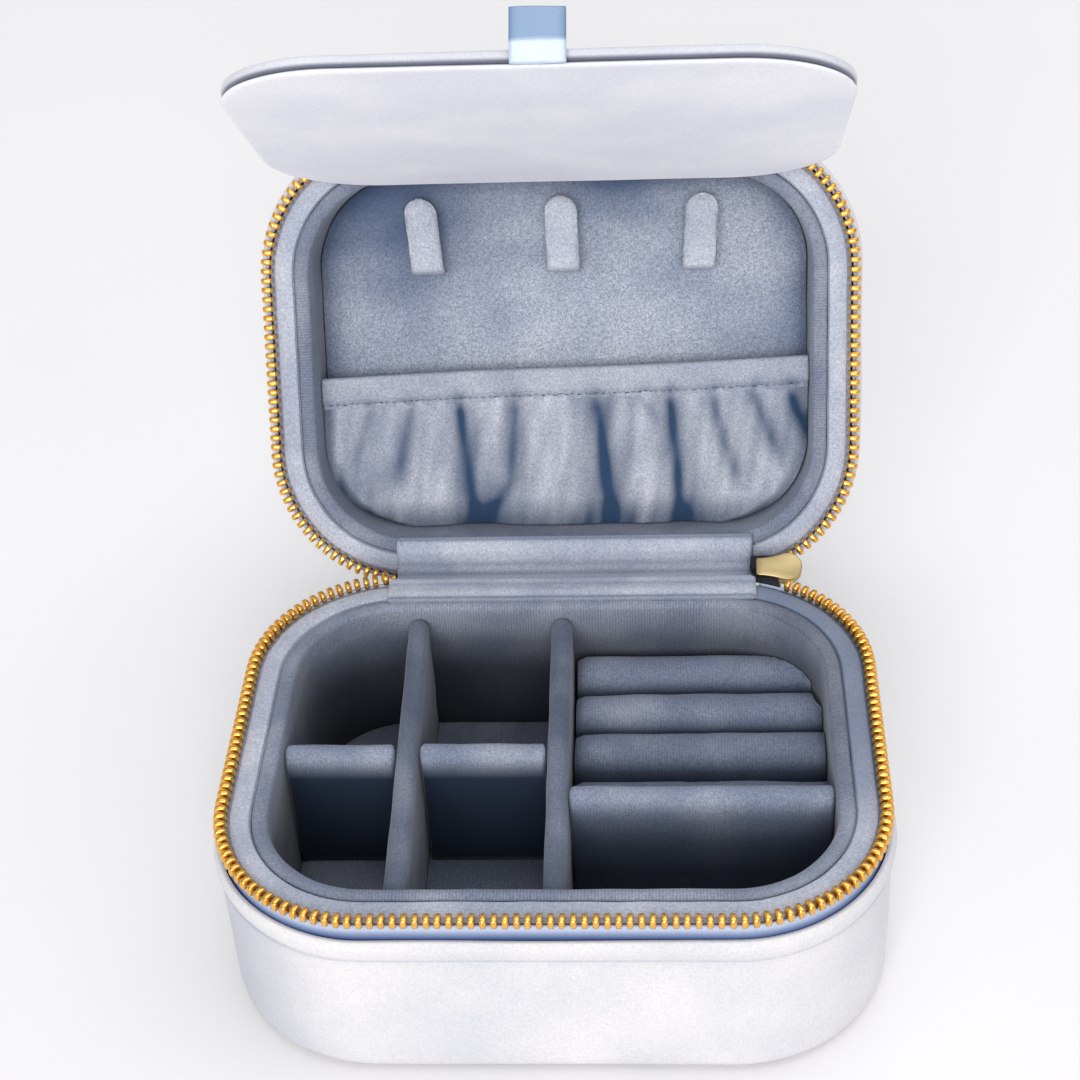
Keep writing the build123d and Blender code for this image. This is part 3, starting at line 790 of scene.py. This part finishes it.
def divider(node, body, x, y, skew, length, thick, end, cross=None):
    """A padded board: bulged sides, a round top and rounded ends in plan."""
    r = thick / 2
    shoulder = DIVIDER_TOP + r * 0.85
    arc = [math.pi * k / 12 for k in range(13)]
    down = [shoulder + (DIVIDER_BOTTOM - shoulder) * k / 14 for k in range(1, 15)]
    loop = [(-math.cos(a) * r, shoulder - math.sin(a) * r * 0.85) for a in arc]
    loop += [(r, d) for d in down] + [(-r, d) for d in reversed(down)]
    c, s = math.cos(math.radians(skew)), math.sin(math.radians(skew))
    rows = rounded_rows(length, end)
    verts, flow, dark = [], [], []
    for along, width in rows:
        for across, depth in loop:
            swell = 1 + 0.05 * math.sin(math.pi * min(1, (depth - DIVIDER_TOP) / 30)) * width
            u = across * width * swell
            drop = (1 - width) * 1.4 if depth < DIVIDER_TOP + r else 0.0
            verts.append(base_point(x + u * c - along * s, y + u * s + along * c, depth + drop))
            flow.append((along + u, depth))
            dark.append(divider_shade(depth - DIVIDER_TOP, along, across / r, cross))
    obj = make(node + "_velvet", verts, closed_tube(len(rows), len(loop)), divider_velvet, flow, dark)
    place(roughen(obj, 0.25, 12, x / 10), body, node)


DEEP_D = 2 * (HALF_D - LINER_IN) - 0.6
divider("main_divider", "base", 0.65, 0, 0.8, DEEP_D, 5.4, 2.2)
divider("left_divider", "left_divider", -37.45, 0, 1.6, DEEP_D, 5.4, 2.2)
# The cross dividers' faces take painted shade quickly on the left and middle ones, and more slowly on the
# right one.
for node, body, cross in (("cross_divider_left", "cross_divider_left", "dark"),
                          ("cross_divider_middle", "cross_divider_middle", "dark"),
                          ("cross_divider_right", "base", "brown")):
    low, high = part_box(node)
    mid = (low + high) / 2 / MM
    divider(node, body, mid.x, mid.y, 90, (high.x - low.x) / MM, 6.2, 1.0, cross)


# ---------------------------------------------------------------- ring rolls

ROLL_FOOT = BASE_H - BASE_FLOOR + 0.3


def ring_roll(n):
    """A padded roll, round on top, held back where the lining's corner curves."""
    low, high = (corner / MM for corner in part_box(f"ring_roll_{n}"))
    y, half_y = (low.y + high.y) / 2, (high.y - low.y) / 2 - 0.05
    top = high.z
    count = int((high.x - low.x) / 2.2)
    section = [(t / 12, max(0.0, 1 - abs(t / 12) ** 2.1) ** 0.5) for t in range(-12, 13)]
    verts, flow, dark = [], [], []
    for i in range(count + 1):
        share = i / count
        x = low.x + (high.x - low.x) * share
        bow = 0.5 * math.sin(math.pi * share * 0.9) - 0.5
        dip = 1.2 * (1 - smooth_step(share / 0.03))
        back = reach(x, HALF_W, HALF_D, LINER_IN + 0.4)
        for t, h in section:
            yy = min(y + t * half_y, back)
            z = top - 7.45 * (1 - h) + bow * (0.4 + 0.6 * h) - dip
            verts.append(Vector((x, yy, z)) * MM)
            flow.append((x, yy))
            # Painted shade: darker down from the crest, a little more towards the back, and full at the feet.
            dark.append(min(0.85, 0.27 + 0.12 * t + 0.6 * smooth_step((1 - h) * 1.5)))
        for t in (1, -1):
            verts.append(Vector((x, min(y + t * half_y, back), ROLL_FOOT)) * MM)
            flow.append((x, 0))
            dark.append(1.0)
    faces = closed_tube(count + 1, len(section) + 2)
    obj = make(f"ring_roll_{n}_velvet", verts, faces, divider_velvet, flow, dark)
    puff(obj, 0.5, lambda x, y, z: smooth_step((z - top + 7) / 2))
    place(roughen(obj, 0.3, 11, n * 3.1), "base", f"ring_roll_{n}")


for n in range(1, 5):
    ring_roll(n)


# ---------------------------------------------------------------- necklace hooks

HOOK_TOP, HOOK_FOOT, HOOK_R, HOOK_DEPTH = -44.0, -22.6, 4.5, LID_PANEL - 6.05
HOOK_ROWS, HOOK_COLS = 26, 11


def hook(n, x, lean):
    """A flat soft tab with a round top, sewn down at its foot."""
    verts, flow, dark = [], [], []
    for back in (False, True):
        for i in range(HOOK_ROWS):
            t = i / (HOOK_ROWS - 1)
            y = HOOK_TOP + (HOOK_FOOT - HOOK_TOP) * t
            inside = max(HOOK_TOP + HOOK_R - y, 0.0)
            w = max(math.sqrt(max(HOOK_R ** 2 - inside ** 2, 0.0)), 0.6)
            sink = 4.4 * smooth_step((t - 0.86) / 0.14) if back else 3.2 * smooth_step((t - 0.93) / 0.07)
            slide = (y - (HOOK_TOP + HOOK_FOOT) / 2) * math.tan(math.radians(lean))
            for j in range(HOOK_COLS):
                u = -1 + 2 * j / (HOOK_COLS - 1)
                bulge = (1 - abs(u) ** 3) * min(1, w / HOOK_R)
                thick = 1.15 * bulge * smooth_step((y - HOOK_TOP) / 2.5 + 0.25)
                d = HOOK_DEPTH + (thick * 0.9 if back else -thick)
                verts.append(lid_point(x + u * w + slide, y, d + sink))
                flow.append((u * w, y))
                # Painted shade: a little along the tab's sides, at its sewn foot, and over its back, which
                # faces the panel.
                rim = smooth_step((abs(u) - 0.82) / 0.18)
                dark.append(0.12 * rim + 0.5 * smooth_step((t - 0.955) / 0.045) + (0.6 if back else 0))
    faces = thin_sheet(HOOK_ROWS, HOOK_COLS)
    obj = make(f"necklace_hook_{n}_velvet", verts, faces, pocket_velvet, flow, dark)
    place(roughen(obj, 0.15, 6, n * 2.0), "lid", f"necklace_hook_{n}")


for n, (x, lean) in enumerate(((-38.2, 5.0), (0.4, 1.5), (38.8, -3.5)), 1):
    hook(n, x, lean)


# ---------------------------------------------------------------- gathered pocket

HEM_Y, HEM_H, HEM_SEAM, TILT = 3.6, 8.0, 7.5, math.tan(math.radians(-1.7))
# Each valley of the gathers: its x at shares of the way down, how far down it runs, and its strength
VALLEYS = (
    (((0, -54), (0.35, -58.5), (0.6, -62.5)), 0.62, 0.5), (((0, -43), (0.5, -47.5)), 0.75, 0.65),
    (((0, -30), (0.35, -28.6), (0.75, -27.3), (1, -25.6)), 1.3, 1.0),
    (((0, -13.5), (0.35, -14.6), (0.64, -15.6), (0.8, -19), (0.93, -24)), 1.3, 0.85),
    (((0, 9), (0.35, 10.2), (0.6, 11.4), (1, 12.6)), 1.15, 0.9), (((0, 20.5), (0.3, 27.5)), 0.36, 0.5),
    (((0, 29.5), (0.45, 31.2), (1, 33)), 1.3, 1.0), (((0, 41), (0.4, 45), (0.8, 50.5)), 0.85, 0.7),
    (((0, 52), (0.3, 57), (0.6, 62)), 0.68, 0.65), (((0, 62.5), (0.2, 65.5), (0.4, 69)), 0.5, 0.9),
)


def fold_depth(x, v):
    """At x, v down the pocket: how far the gathers push the cloth back, and how much painted shade they put
    in their valleys.
    """
    push = dark = 0.0
    for turns, run, strength in VALLEYS:
        (v0, x0), (v1, x1) = turns[-2:]
        for (va, xa), (vb, xb) in zip(turns, turns[1:]):
            if v < vb:
                (v0, x0), (v1, x1) = (va, xa), (vb, xb)
                break
        at = x0 + (x1 - x0) * (v - v0) / (v1 - v0)
        fade = (0.45 + 0.55 * smooth_step(v / 0.12)) * (1 - smooth_step((v - run + 0.3) / 0.3))
        dx = x - at
        reach = (3.6 if dx < 0 else 4.6) * (0.8 + 0.4 * v)
        push += strength * fade * math.exp(-(abs(dx) / (1.5 * reach)) ** 1.5)
        core = math.exp(-(abs(dx) / (1.5 + 0.8 * v)) ** 2)
        dark += strength * fade * (0.34 * core + 0.5 * math.exp(-(abs(dx) / reach) ** 1.6))
    return min(push, 1.25), dark


POCKET_COLS, POCKET_ROWS = 420, 74
POCKET_TOP, POCKET_FOOT = HEM_Y + HEM_H - 0.4, HALF_D - LINER_IN - 0.3


def pocket():
    """One gathered sheet of velvet, front and back, from the hem down into the lid's lining."""
    verts, flow, dark = [], [], []
    for side in (0, 1):
        for i in range(POCKET_ROWS + 1):
            v = i / POCKET_ROWS
            flat_y = POCKET_TOP + (POCKET_FOOT - POCKET_TOP) * v
            half_w = reach(min(flat_y, POCKET_FOOT - 0.4), HALF_D, HALF_W, LINER_IN + 0.3)
            tuck = smooth_step((v - 0.76) / 0.24)
            for j in range(POCKET_COLS + 1):
                u = -1 + 2 * j / POCKET_COLS
                x = u * half_w
                y = flat_y + TILT * x * (1 - v)
                push, deep = fold_depth(x, v)
                billow = 1.5 * math.sin(math.pi * min(0.12 + v * 0.95, 1)) * (1 - min(push, 1))
                valley = 2.6 * push * (0.35 + 0.65 * smooth_step(v * 2))
                edge = smooth_step((abs(u) - 0.93) / 0.07)
                crease = noise.noise(Vector((x / 3.2 + y / 30, y / 16, 2.0)))
                d = 14.3 - billow + valley + 1.8 * edge + 3.2 * tuck + 0.3 * crease * smooth_step(v * 4)
                verts.append(lid_point(x, y, d + side * 0.7))
                flow.append((x, y))
                # Painted shade: in the fold valleys, along the tucked bottom and the lower left, in a band
                # just right of the middle, in the creases, at the side edges and over the back face.
                low = 0.42 * tuck + 0.25 * smooth_step((-x - 30) / 30) * smooth_step((v - 0.35) / 0.3)
                band = 0.2 * smooth_step((x + 4) / 8) * (1 - smooth_step((x - 16) / 6))
                shade = deep + 0.18 + band + 0.25 * crease + low + 0.35 * edge + 0.5 * side
                dark.append(max(0.0, min(1.0, shade)))
    faces = thin_sheet(POCKET_ROWS + 1, POCKET_COLS + 1)
    cloth = place(make("lid_pocket_velvet", verts, faces, pocket_velvet, flow, dark), "lid", "lid_pocket")


pocket()


def hem_wander(x):
    return 0.25 * math.sin(x / 17)


def hem_ripple(x):
    return 0.28 * math.sin(x * 0.9 + 2 * math.sin(x / 7))


def hem():
    """The stitched casing along the pocket's mouth, with the elastic inside it."""
    half_w = HALF_W - LINER_IN - 0.4
    count = 300
    loop = dense(soft_path([
        (0.0, 16.0, 0.8), (-0.1, 13.4, 1.2), (2.6, 12.8, 2.0), (6.2, 12.9, 1.2), (HEM_SEAM, 13.7, 0.7),
        (8.8, 13.9, 0.5), (9.0, 14.6, 0.4), (HEM_SEAM, 15.6, 0.8),
    ], closed=True), 0.5, True)
    verts, flow, dark = [], [], []
    for i in range(count + 1):
        x = -half_w + 2 * half_w * i / count
        pull = min(1.0, fold_depth(x, 0.1)[1])
        for a, d in loop:
            lift = hem_ripple(x) * smooth_step((a - 3) / 4) + 0.5 * pull * smooth_step((a - 4) / 4)
            verts.append(lid_point(x, HEM_Y + a + TILT * x + hem_wander(x), d + lift))
            flow.append((x, a))
            # Darker along the stitch line; painted shade where the gathers pull the casing and on its inner
            # side.
            stitch = math.exp(-((a - HEM_SEAM) / 0.45) ** 2) * (0.6 + 0.4 * math.sin(x * 3.0))
            gather_shade = 0.5 * pull * smooth_step((a - 3) / 5)
            dark.append(min(1.0, 0.22 + 0.25 * stitch + gather_shade + (0.5 if d > 15 else 0)))
    faces = closed_tube(count + 1, len(loop))
    place(make("lid_pocket_hem_velvet", verts, faces, pocket_velvet, flow, dark), "lid")


hem()


def stitches():
    """The row of short raised threads along the hem."""
    length, thick, sides, rings = 1.25 * MM, 0.17 * MM, 6, 5
    verts, faces = [], []
    x = -66.0
    while x < 67.0:
        y = HEM_Y + HEM_SEAM + TILT * x + hem_wander(x) + 0.18 * math.sin(x * 1.9)
        d = 13.6 + 0.9 * hem_ripple(x) + 0.45 * fold_depth(x, 0.16)[0]
        at = lid_point(x, y, d)
        along = (lid_point(x + 1, y + 0.25 * math.sin(x * 2.3), d) - at).normalized()
        side = along.cross(-LID_Z).normalized()
        faces += closed_tube(rings, sides, len(verts))
        for i in range(rings):
            t = -0.5 + i / (rings - 1)
            r = thick * math.sqrt(max(1 - (2 * t) ** 2 * 0.86, 0.05))
            for k in range(sides):
                a = 2 * math.pi * k / sides
                verts.append(at + along * t * length + (side * math.cos(a) - LID_Z * math.sin(a)) * r)
        x += 1.75 + 0.25 * math.sin(x * 3.7)
    place(make("lid_pocket_stitching", verts, faces, thread), "lid")


stitches()
clothe("pocket_elastic", elastic)


# ---------------------------------------------------------------- fabric hinge

def strip_over(name, path, left, right, thick, material, ridges=(), dark_lines=(), seed=0.0, count=90):
    """A fabric strip that runs along x over a path of (y, z) points in millimetres.

    ridges are (place along the path, height, width), and dark_lines (place, darkness, width) are lines of
    painted shade in the folds and where the strip meets the rims; the back face takes some painted shade as
    well.
    """
    path = dense(path, 0.5)
    run = lengths(path)
    verts, flow, dark = [], [], []
    for i in range(count + 1):
        x = left + (right - left) * i / count
        half = thick / 2 * smooth_step(min(x - left, right - x) / 0.7)
        outline = []
        for j, (p, r) in enumerate(zip(path, run)):
            lift = sum(height * math.exp(-((r - at) / width) ** 2) for at, height, width in ridges)
            lift += 0.18 * noise.noise(Vector((x / 16, r / 3.0, seed)))
            outline.append((p, along_path(path, j), lift, r))
        for p, normal, lift, r in outline:
            q = p + normal * (half + lift)
            verts.append(Vector((x, q.x, q.y)) * MM)
            flow.append((x, r))
            dark.append(min(1.0, sum(d * math.exp(-((r - at) / w) ** 2) for at, d, w in dark_lines)))
        for p, normal, lift, r in reversed(outline):
            q = p + normal * (lift * 0.5 - half)
            verts.append(Vector((x, q.x, q.y)) * MM)
            flow.append((x, r))
            dark.append(0.3)
    return make(name, verts, closed_tube(count + 1, 2 * len(path)), material, flow, dark)


def lid_yz(y, depth):
    p = lid_point(0, y, depth) / MM
    return (p.y, p.z)


def split_at(path, y, z):
    """Two paths that share the point nearest to (y, z)."""
    nearest = min(range(len(path)), key=lambda i: (path[i] - Vector((y, z))).length)
    return path[:nearest + 1], path[nearest:]


def bend(obj, a, b, start, end, *nodes):
    if nodes:
        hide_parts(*nodes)
    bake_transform(obj)


INNER_MID, OUTER_MID = (70.5, 43.6), (72.0, 37.6)
lower_path, upper_path = split_at(soft_path([
    (52.0, 51.2, 0), (60.2, 51.2, 2.5), (67.2, 45.6, 2.5), (73.0, 42.2, 2.5),
    (*lid_yz(58.6, 1.7), 2.5), (*lid_yz(49.2, 1.7), 0),
]), *INNER_MID)
upper_run = lengths(upper_path)[-1]
lower = strip_over("hinge_inner_lower_velvet", lower_path, STRIP_LEFT, STRIP_RIGHT, 1.2, rim_velvet,
                   [(3.2, 0.35, 1.6), (9.5, 0.25, 1.5)], [(0.4, 0.8, 0.7), (6.2, 0.35, 0.8)], 1.0)
upper = strip_over("hinge_inner_upper_velvet", upper_path, STRIP_LEFT, STRIP_RIGHT, 1.2, rim_velvet,
                   [(5.0, 0.25, 1.5), (upper_run - 4, 0.35, 1.6)],
                   [(upper_run - 0.4, 0.8, 0.7), (upper_run - 7.5, 0.3, 0.8), (1.5, 0.4, 1.2)], 4.0)
bend(lower, "base", "hinge", (59.5, 51.2), INNER_MID, "inner_hinge_strip")
bend(upper, "hinge", "lid", INNER_MID, lid_yz(57.5, 1.7))

OUTER_Y = HALF_D + 1.25
lower_path, upper_path = split_at(soft_path([
    (OUTER_Y, BASE_H - 12.6, 0), (OUTER_Y, 42.5, 1.2), (72.0, 37.4, 1.2),
    (*lid_yz(OUTER_Y, 8.8), 1.2), (*lid_yz(OUTER_Y, 12.6), 0),
]), *OUTER_MID)
lower = strip_over("hinge_outer_lower_velvet", lower_path, STRIP_LEFT + 0.2, STRIP_RIGHT - 0.2, 1.4,
                   outer_velvet, seed=7.0)
upper = strip_over("hinge_outer_upper_velvet", upper_path, STRIP_LEFT + 0.2, STRIP_RIGHT - 0.2, 1.4,
                   outer_velvet, seed=9.0)
bend(lower, "base", "hinge", (OUTER_Y, 42.5), OUTER_MID, "outer_hinge_strip")
bend(upper, "hinge", "lid", OUTER_MID, lid_yz(OUTER_Y, 9.3))


def tape_end(name, rows, a, b, start, end):
    """Tape that runs from a row of teeth into the slider's slot, in the near-black board look as painted
    shade, since it lies in shadow between the halves.
    """
    cols, verts, flow = 13, [], []
    for side in (0, 1):
        for r, row in enumerate(rows):
            for k in range(cols):
                x = 51.5 + 7.3 * k / (cols - 1)
                y, z = row(x)
                verts.append(Vector((x, y, z - side * 0.5)) * MM)
                flow.append((k, r * 2))
    bend(make(name, verts, thin_sheet(len(rows), cols), board, flow), a, b, start, end)


def back_edge(x):
    return reach(x, HALF_W, HALF_D, 0.0)


tape_end("zip_end_lower",
         (lambda x: (back_edge(x) - 0.2, 50.4), lambda x: (64.0, 47.6), lambda x: (68.3, 47.4)),
         "base", "hinge", (61.0, 50.4), (67.5, 47.5))
tape_end("zip_end_upper",
         (lambda x: (68.3, 47.4), lambda x: (70.6, 50.6), lambda x: lid_yz(back_edge(x), 2.6)),
         "hinge", "lid", (68.6, 47.6), lid_yz(61.0, 2.6))


# ---------------------------------------------------------------- flap

PLATE_RINGS, PLATE_AROUND = 14, 168


def flap_plate(name, w, l, r, layers, material, shade=None, quilt=0.0, middle=True):
    """A rounded plate: rings from the middle of one face, round the edge by layers of (outward
    offset, height), and back to the middle of the other face, which quilt raises."""
    segments = rounded_outline(w / 2, l / 2, r)
    total = sum(segment[1] for segment in segments)
    inner = [i / PLATE_RINGS for i in range(1, PLATE_RINGS)]
    if not middle:
        inner = inner[-1:]
    first, last = layers[0], layers[-1]
    rings = [(share, *first) for share in inner] + [(1.0, *layer) for layer in layers]
    rings += [(share, *last) for share in reversed(inner)]
    verts, flow, dark = [], [], []
    for share, grow, height in rings:
        rise = quilt * (1 - share ** 3) if height == last[1] else 0.0
        for k in range(PLATE_AROUND):
            x, y, nx, ny = outline_at(segments, r, total * k / PLATE_AROUND)
            x, y = (x + nx * grow) * share, (y + ny * grow) * share
            verts.append(flap_point(x, y + FLAP_L / 2, height + rise))
            flow.append((x, y))
            dark.append(shade(height) if shade else 0.0)
    faces = grid(len(rings), PLATE_AROUND)
    if middle:
        faces += end_faces(len(rings), PLATE_AROUND)
    return make(name, verts, faces, material, flow, dark)


board_edge = [(-0.7, 0.0), (-0.15, 0.2), (0.1, 0.9), (0.05, 1.7), (-0.4, 2.3), (-1.3, 2.7)]
# Painted shade in the seam where the board meets the pad; the rest of the board is a little darker.
flap_back = flap_plate("flap_board_velvet", FLAP_W, FLAP_L, FLAP_R, board_edge, flap_velvet,
                       shade=lambda height: 0.9 if height > 2.2 else 0.3)
place(roughen(flap_back, 0.12, 14, 2.2), "flap", "flap_board")
pad_edge = [(-1.7, 2.85), (-0.9, 2.95), (-0.2, 3.3), (0.05, 3.65), (-0.2, 4.0), (-1.0, 4.2), (-2.4, 4.25)]
# Painted shade in the seam at the pad's foot, and a little just above it.
flap_soft = flap_plate("flap_pad_velvet", FLAP_W, FLAP_L, FLAP_R, pad_edge, flap_velvet, quilt=0.7,
                       shade=lambda height: 0.85 if height < 3.1 else 0.35 if height < 3.5 else 0.0)
pad_foot = flap_point(0, 0, 3.4)


def pad_free(x, y, z):
    """The pad swells in the middle and stays thin where it closes on the lid's rim."""
    at = Vector((x, y, z)) - pad_foot / MM
    across, along, up = at.x, at.dot(FLAP_Y), at.dot(FLAP_Z)
    edge = min(FLAP_W / 2 - abs(across), along, FLAP_L - along)
    return smooth_step(up / 0.6) * smooth_step((edge - 6) / 8)


puff(flap_soft, 0.8, pad_free)
place(roughen(flap_soft, 0.12, 24, 5.0), "flap", "flap_pad")

MIRROR_W, MIRROR_L, MIRROR_R = 118.0, 76.0, 16.0
glass_plate = flap_plate("flap_mirror_glass", MIRROR_W, MIRROR_L, MIRROR_R,
                         [(-0.3, -0.3), (0.0, -0.15), (0.0, 0.9)], mirror)
place(glass_plate, "flap", "flap_mirror")
mirror_seam = [(-0.6, 0.0), (-0.2, -0.35), (0.9, -0.45), (1.9, -0.1), (2.1, 0.25)]
place(flap_plate("flap_mirror_edge", MIRROR_W, MIRROR_L, MIRROR_R, mirror_seam, flap_velvet, middle=False),
      "flap")


def ribbon():
    """A folded satin loop: up from the pad face, over and back down behind the flap's edge."""
    start, gap, rise, thick, half_w, middle_x, cols = FLAP_L + 0.8, 2.2, 8.8, 0.5, 6.2, 2.0, 17
    path = dense(soft_path([
        (start - 0.2, 3.6, 0), (start - 0.1, -0.6, 1), (start - 1.4, -rise, 1.0),
        (start + gap - 1.2, -rise - 0.1, 1.0), (start + gap, -0.8, 1.5), (start + 0.9, 3.7, 0),
    ]), 0.6)
    run = lengths(path)
    verts, flow, dark = [], [], []
    for face in (-thick / 2, thick / 2):
        for j, p in enumerate(path):
            for k in range(cols):
                u = -1 + 2 * k / (cols - 1)
                cup = 0.25 * u * u + 0.12 * math.sin(run[j] * 0.5 + u * 2)
                at = p + along_path(path, j) * (face + cup)
                verts.append(flap_point(middle_x + u * half_w, at.x, at.y))
                flow.append((u * half_w, run[j]))
                # Painted shade on the part of the loop that stands out past the flap's edge, which tilts away
                # from the light, and a little at its sides.
                dark.append(0.75 * smooth_step((-0.4 - p.y) / 1.2) + 0.2 * smooth_step(abs(u) * 3 - 2))
    faces = thin_sheet(len(path), cols)
    place(make("ribbon_pull_satin", verts, faces, satin, flow, dark), "flap", "ribbon_pull")


ribbon()

flap_path = soft_path([(*lid_yz(-57.6, 1.8), 0), (*lid_yz(-54.3, 1.6), 1.0), (*lid_yz(-53.9, -1.2), 0)])
flap_strip = strip_over("flap_hinge_velvet", flap_path, -55, 55, 0.8, flap_velvet, seed=3.0, count=60)
bend(flap_strip, "lid", "flap", lid_yz(-54.6, 1.7), lid_yz(-53.9, -1.2), "flap_hinge_strip")


# ---------------------------------------------------------------- slider and pull tab

def slider_outline(grow):
    """The plate: round at the right, flaring in a shallow curve to a straight left end."""
    angles = [math.radians(-112 + 224 * k / 20) for k in range(21)]
    nose = [(2.0 + (4.0 + grow) * math.cos(a), (4.0 + grow) * math.sin(a)) for a in angles]
    left = -6.6 - grow
    flare = [(0.5 + (left - 0.1) * t, 2.55 + grow + 1.15 * (1 - t) ** 1.8) for t in (0.2, 0.4, 0.6, 0.8, 1.0)]
    end = [(left, 2.2 + grow), (left, -2.2 - grow)]
    return nose + flare + end + [(x, -y) for x, y in reversed(flare)]


def slider_slab(rings):
    """A part of the slider that stacks rings of (outline, height)."""
    verts = [slider_point(x, y, z) for outline, z in rings for x, y in outline]
    return make("slab", verts, closed_tube(len(rings), len(rings[0][0])), brushed_gold)


def slider_plate(low):
    edge = ((-0.35, 0.0), (-0.1, 0.12), (0.0, 0.4), (0.0, 0.8), (-0.1, 1.08), (-0.35, 1.2))
    return slider_slab([(slider_outline(grow), low + height) for grow, height in edge])


def slider_bail():
    """The arch that holds the tab: a flattened rod along a path in the slider's middle plane."""
    arch = [Vector(p) for p in ((-2.1, 2.2), (-2.1, 3.6), (-1.7, 4.2), (-0.9, 4.5), (0.9, 4.5), (1.7, 4.2),
                                (2.1, 3.6), (2.1, 2.2))]
    radius, flat, sides = 0.48, 1.9, 10
    verts = []
    for i, p in enumerate(arch):
        out = along_path(arch, i)
        for k in range(sides):
            a = 2 * math.pi * k / sides
            q = p + out * math.sin(a) * radius
            verts.append(slider_point(q.x, math.cos(a) * radius * flat, q.y))
    return make("bail", verts, closed_tube(len(arch), sides), brushed_gold)


def join(name, objs):
    bpy.ops.object.select_all(action="DESELECT")
    for o in objs:
        o.select_set(True)
    bpy.context.view_layer.objects.active = objs[0]
    bpy.ops.object.join()
    objs[0].name = name
    return objs[0]


wedge = [(2.6 + 2.5 * math.cos(a), 1.35 * math.sin(a)) for a in [2 * math.pi * k / 24 for k in range(24)]]
slider_parts = [slider_plate(-2.3), slider_plate(1.1), slider_slab([(wedge, -1.15), (wedge, 1.15)]),
                slider_bail()]
place(join("zip_slider_gold", slider_parts), "hinge", "zip_slider")

TAB_SIDES, TAB_FOOT = 20, 2.95
TAB_RINGS = ((-0.18, -0.55), (0.0, -0.37), (0.0, 0.37), (-0.18, 0.55))


def tab_outline(grow, hole):
    """The tab's outline, or its hole's, as (across, along) points, with five to each corner."""
    if hole:
        w, low, high, r, foot_r = 2.2 - grow, 0.6 - grow, 4.1 + grow, 0.5, 0.5
    else:
        w, low, high, r, foot_r = 3.2 + grow, -grow, 22.0 + grow, 1.4, 0.6
    points = []
    for x, z, corner_r, first in ((w - r, high - r, r, 0), (r - w, high - r, r, 90),
                                  (r - w, low + r, foot_r, 180), (w - r, low + r, foot_r, 270)):
        for k in range(5):
            a = math.radians(first + 90 * k / 4)
            points.append((x + corner_r * math.cos(a), z + corner_r * math.sin(a)))
    return points


def pull_tab():
    """A flat tab that stands out from the slider, with a hole for the bail."""
    verts = [slider_point(thick, across, TAB_FOOT + along) for hole in (False, True)
             for grow, thick in TAB_RINGS for across, along in tab_outline(grow, hole)]
    rings = len(TAB_RINGS)
    faces = grid(rings, TAB_SIDES) + grid(rings, TAB_SIDES, rings * TAB_SIDES)
    for ring in (0, rings - 1):
        outer, inner = ring * TAB_SIDES, (rings + ring) * TAB_SIDES
        for k in range(TAB_SIDES):
            n = (k + 1) % TAB_SIDES
            faces.append((outer + k, outer + n, inner + n, inner + k))
    place(make("pull_tab_gold", verts, faces, brushed_gold, smooth=False), "pull_tab", "pull_tab")


pull_tab()


# ---------------------------------------------------------------- floor, light, camera

FLOOR_SIZE, FLOOR_Z = 16.0, -0.0004
floor_look = Look("studio_floor")
floor_tone = floor_look.ramp(floor_look.noise(6.0), (0.3, rgb(229, 228, 229)), (0.7, rgb(231, 230, 231)))
floor_look.feed(floor_look.shader["Base Color"], floor_tone)
floor_look.shader["Roughness"].default_value = 0.8
bpy.ops.mesh.primitive_grid_add(x_subdivisions=2, y_subdivisions=2, size=FLOOR_SIZE, location=(0, 0, FLOOR_Z))
floor = bpy.context.object
floor.name = "studio_floor"
floor.data.materials.append(floor_look.material)

world = bpy.data.worlds.new("studio")
world.use_nodes = True
world.node_tree.nodes["Background"].inputs["Color"].default_value = (0.98, 0.985, 1.0, 1)
world.node_tree.nodes["Background"].inputs["Strength"].default_value = 0.55
scene.world = world


def area_light(name, place_at, target, size, power, colour=(1, 1, 1)):
    light = bpy.data.lights.new(name, "AREA")
    light.shape, light.size, light.size_y = "RECTANGLE", size[0], size[1]
    light.energy, light.color = power, colour
    obj = bpy.data.objects.new(name, light)
    scene.collection.objects.link(obj)
    obj.location = place_at
    obj.rotation_euler = (Vector(target) - Vector(place_at)).to_track_quat("-Z", "Y").to_euler()


area_light("window", (-0.2, -3.2, 1.7), (0, 0, 0.06), (2.6, 1.8), 108, (1.0, 0.985, 0.965))
area_light("sky", (0.5, 0.5, 2.6), (0, 0.05, 0.05), (2.6, 2.6), 33, (0.98, 0.985, 1.0))

CAMERA_AT, LENS = (0.0290, -0.3714, 0.4057), 68.4
pitch, yaw, roll = math.radians(38.18), math.radians(4.57), math.radians(-3.53)
forward = Vector((-math.sin(yaw) * math.cos(pitch), math.cos(yaw) * math.cos(pitch), -math.sin(pitch)))
right = Vector((math.cos(yaw), math.sin(yaw), 0))
up = right.cross(forward)
side = right * math.cos(roll) + up * math.sin(roll)
top = up * math.cos(roll) - right * math.sin(roll)
camera_data = bpy.data.cameras.new("camera")
camera_data.lens, camera_data.sensor_width = LENS, 36.0
camera_data.clip_start = 0.01
camera = bpy.data.objects.new("camera", camera_data)
scene.collection.objects.link(camera)
turn = Matrix((side, top, -forward)).transposed().to_4x4()
camera.matrix_world = Matrix.Translation(CAMERA_AT) @ turn
scene.camera = camera
scene.view_settings.view_transform = "Standard"
scene.view_settings.look = "None"
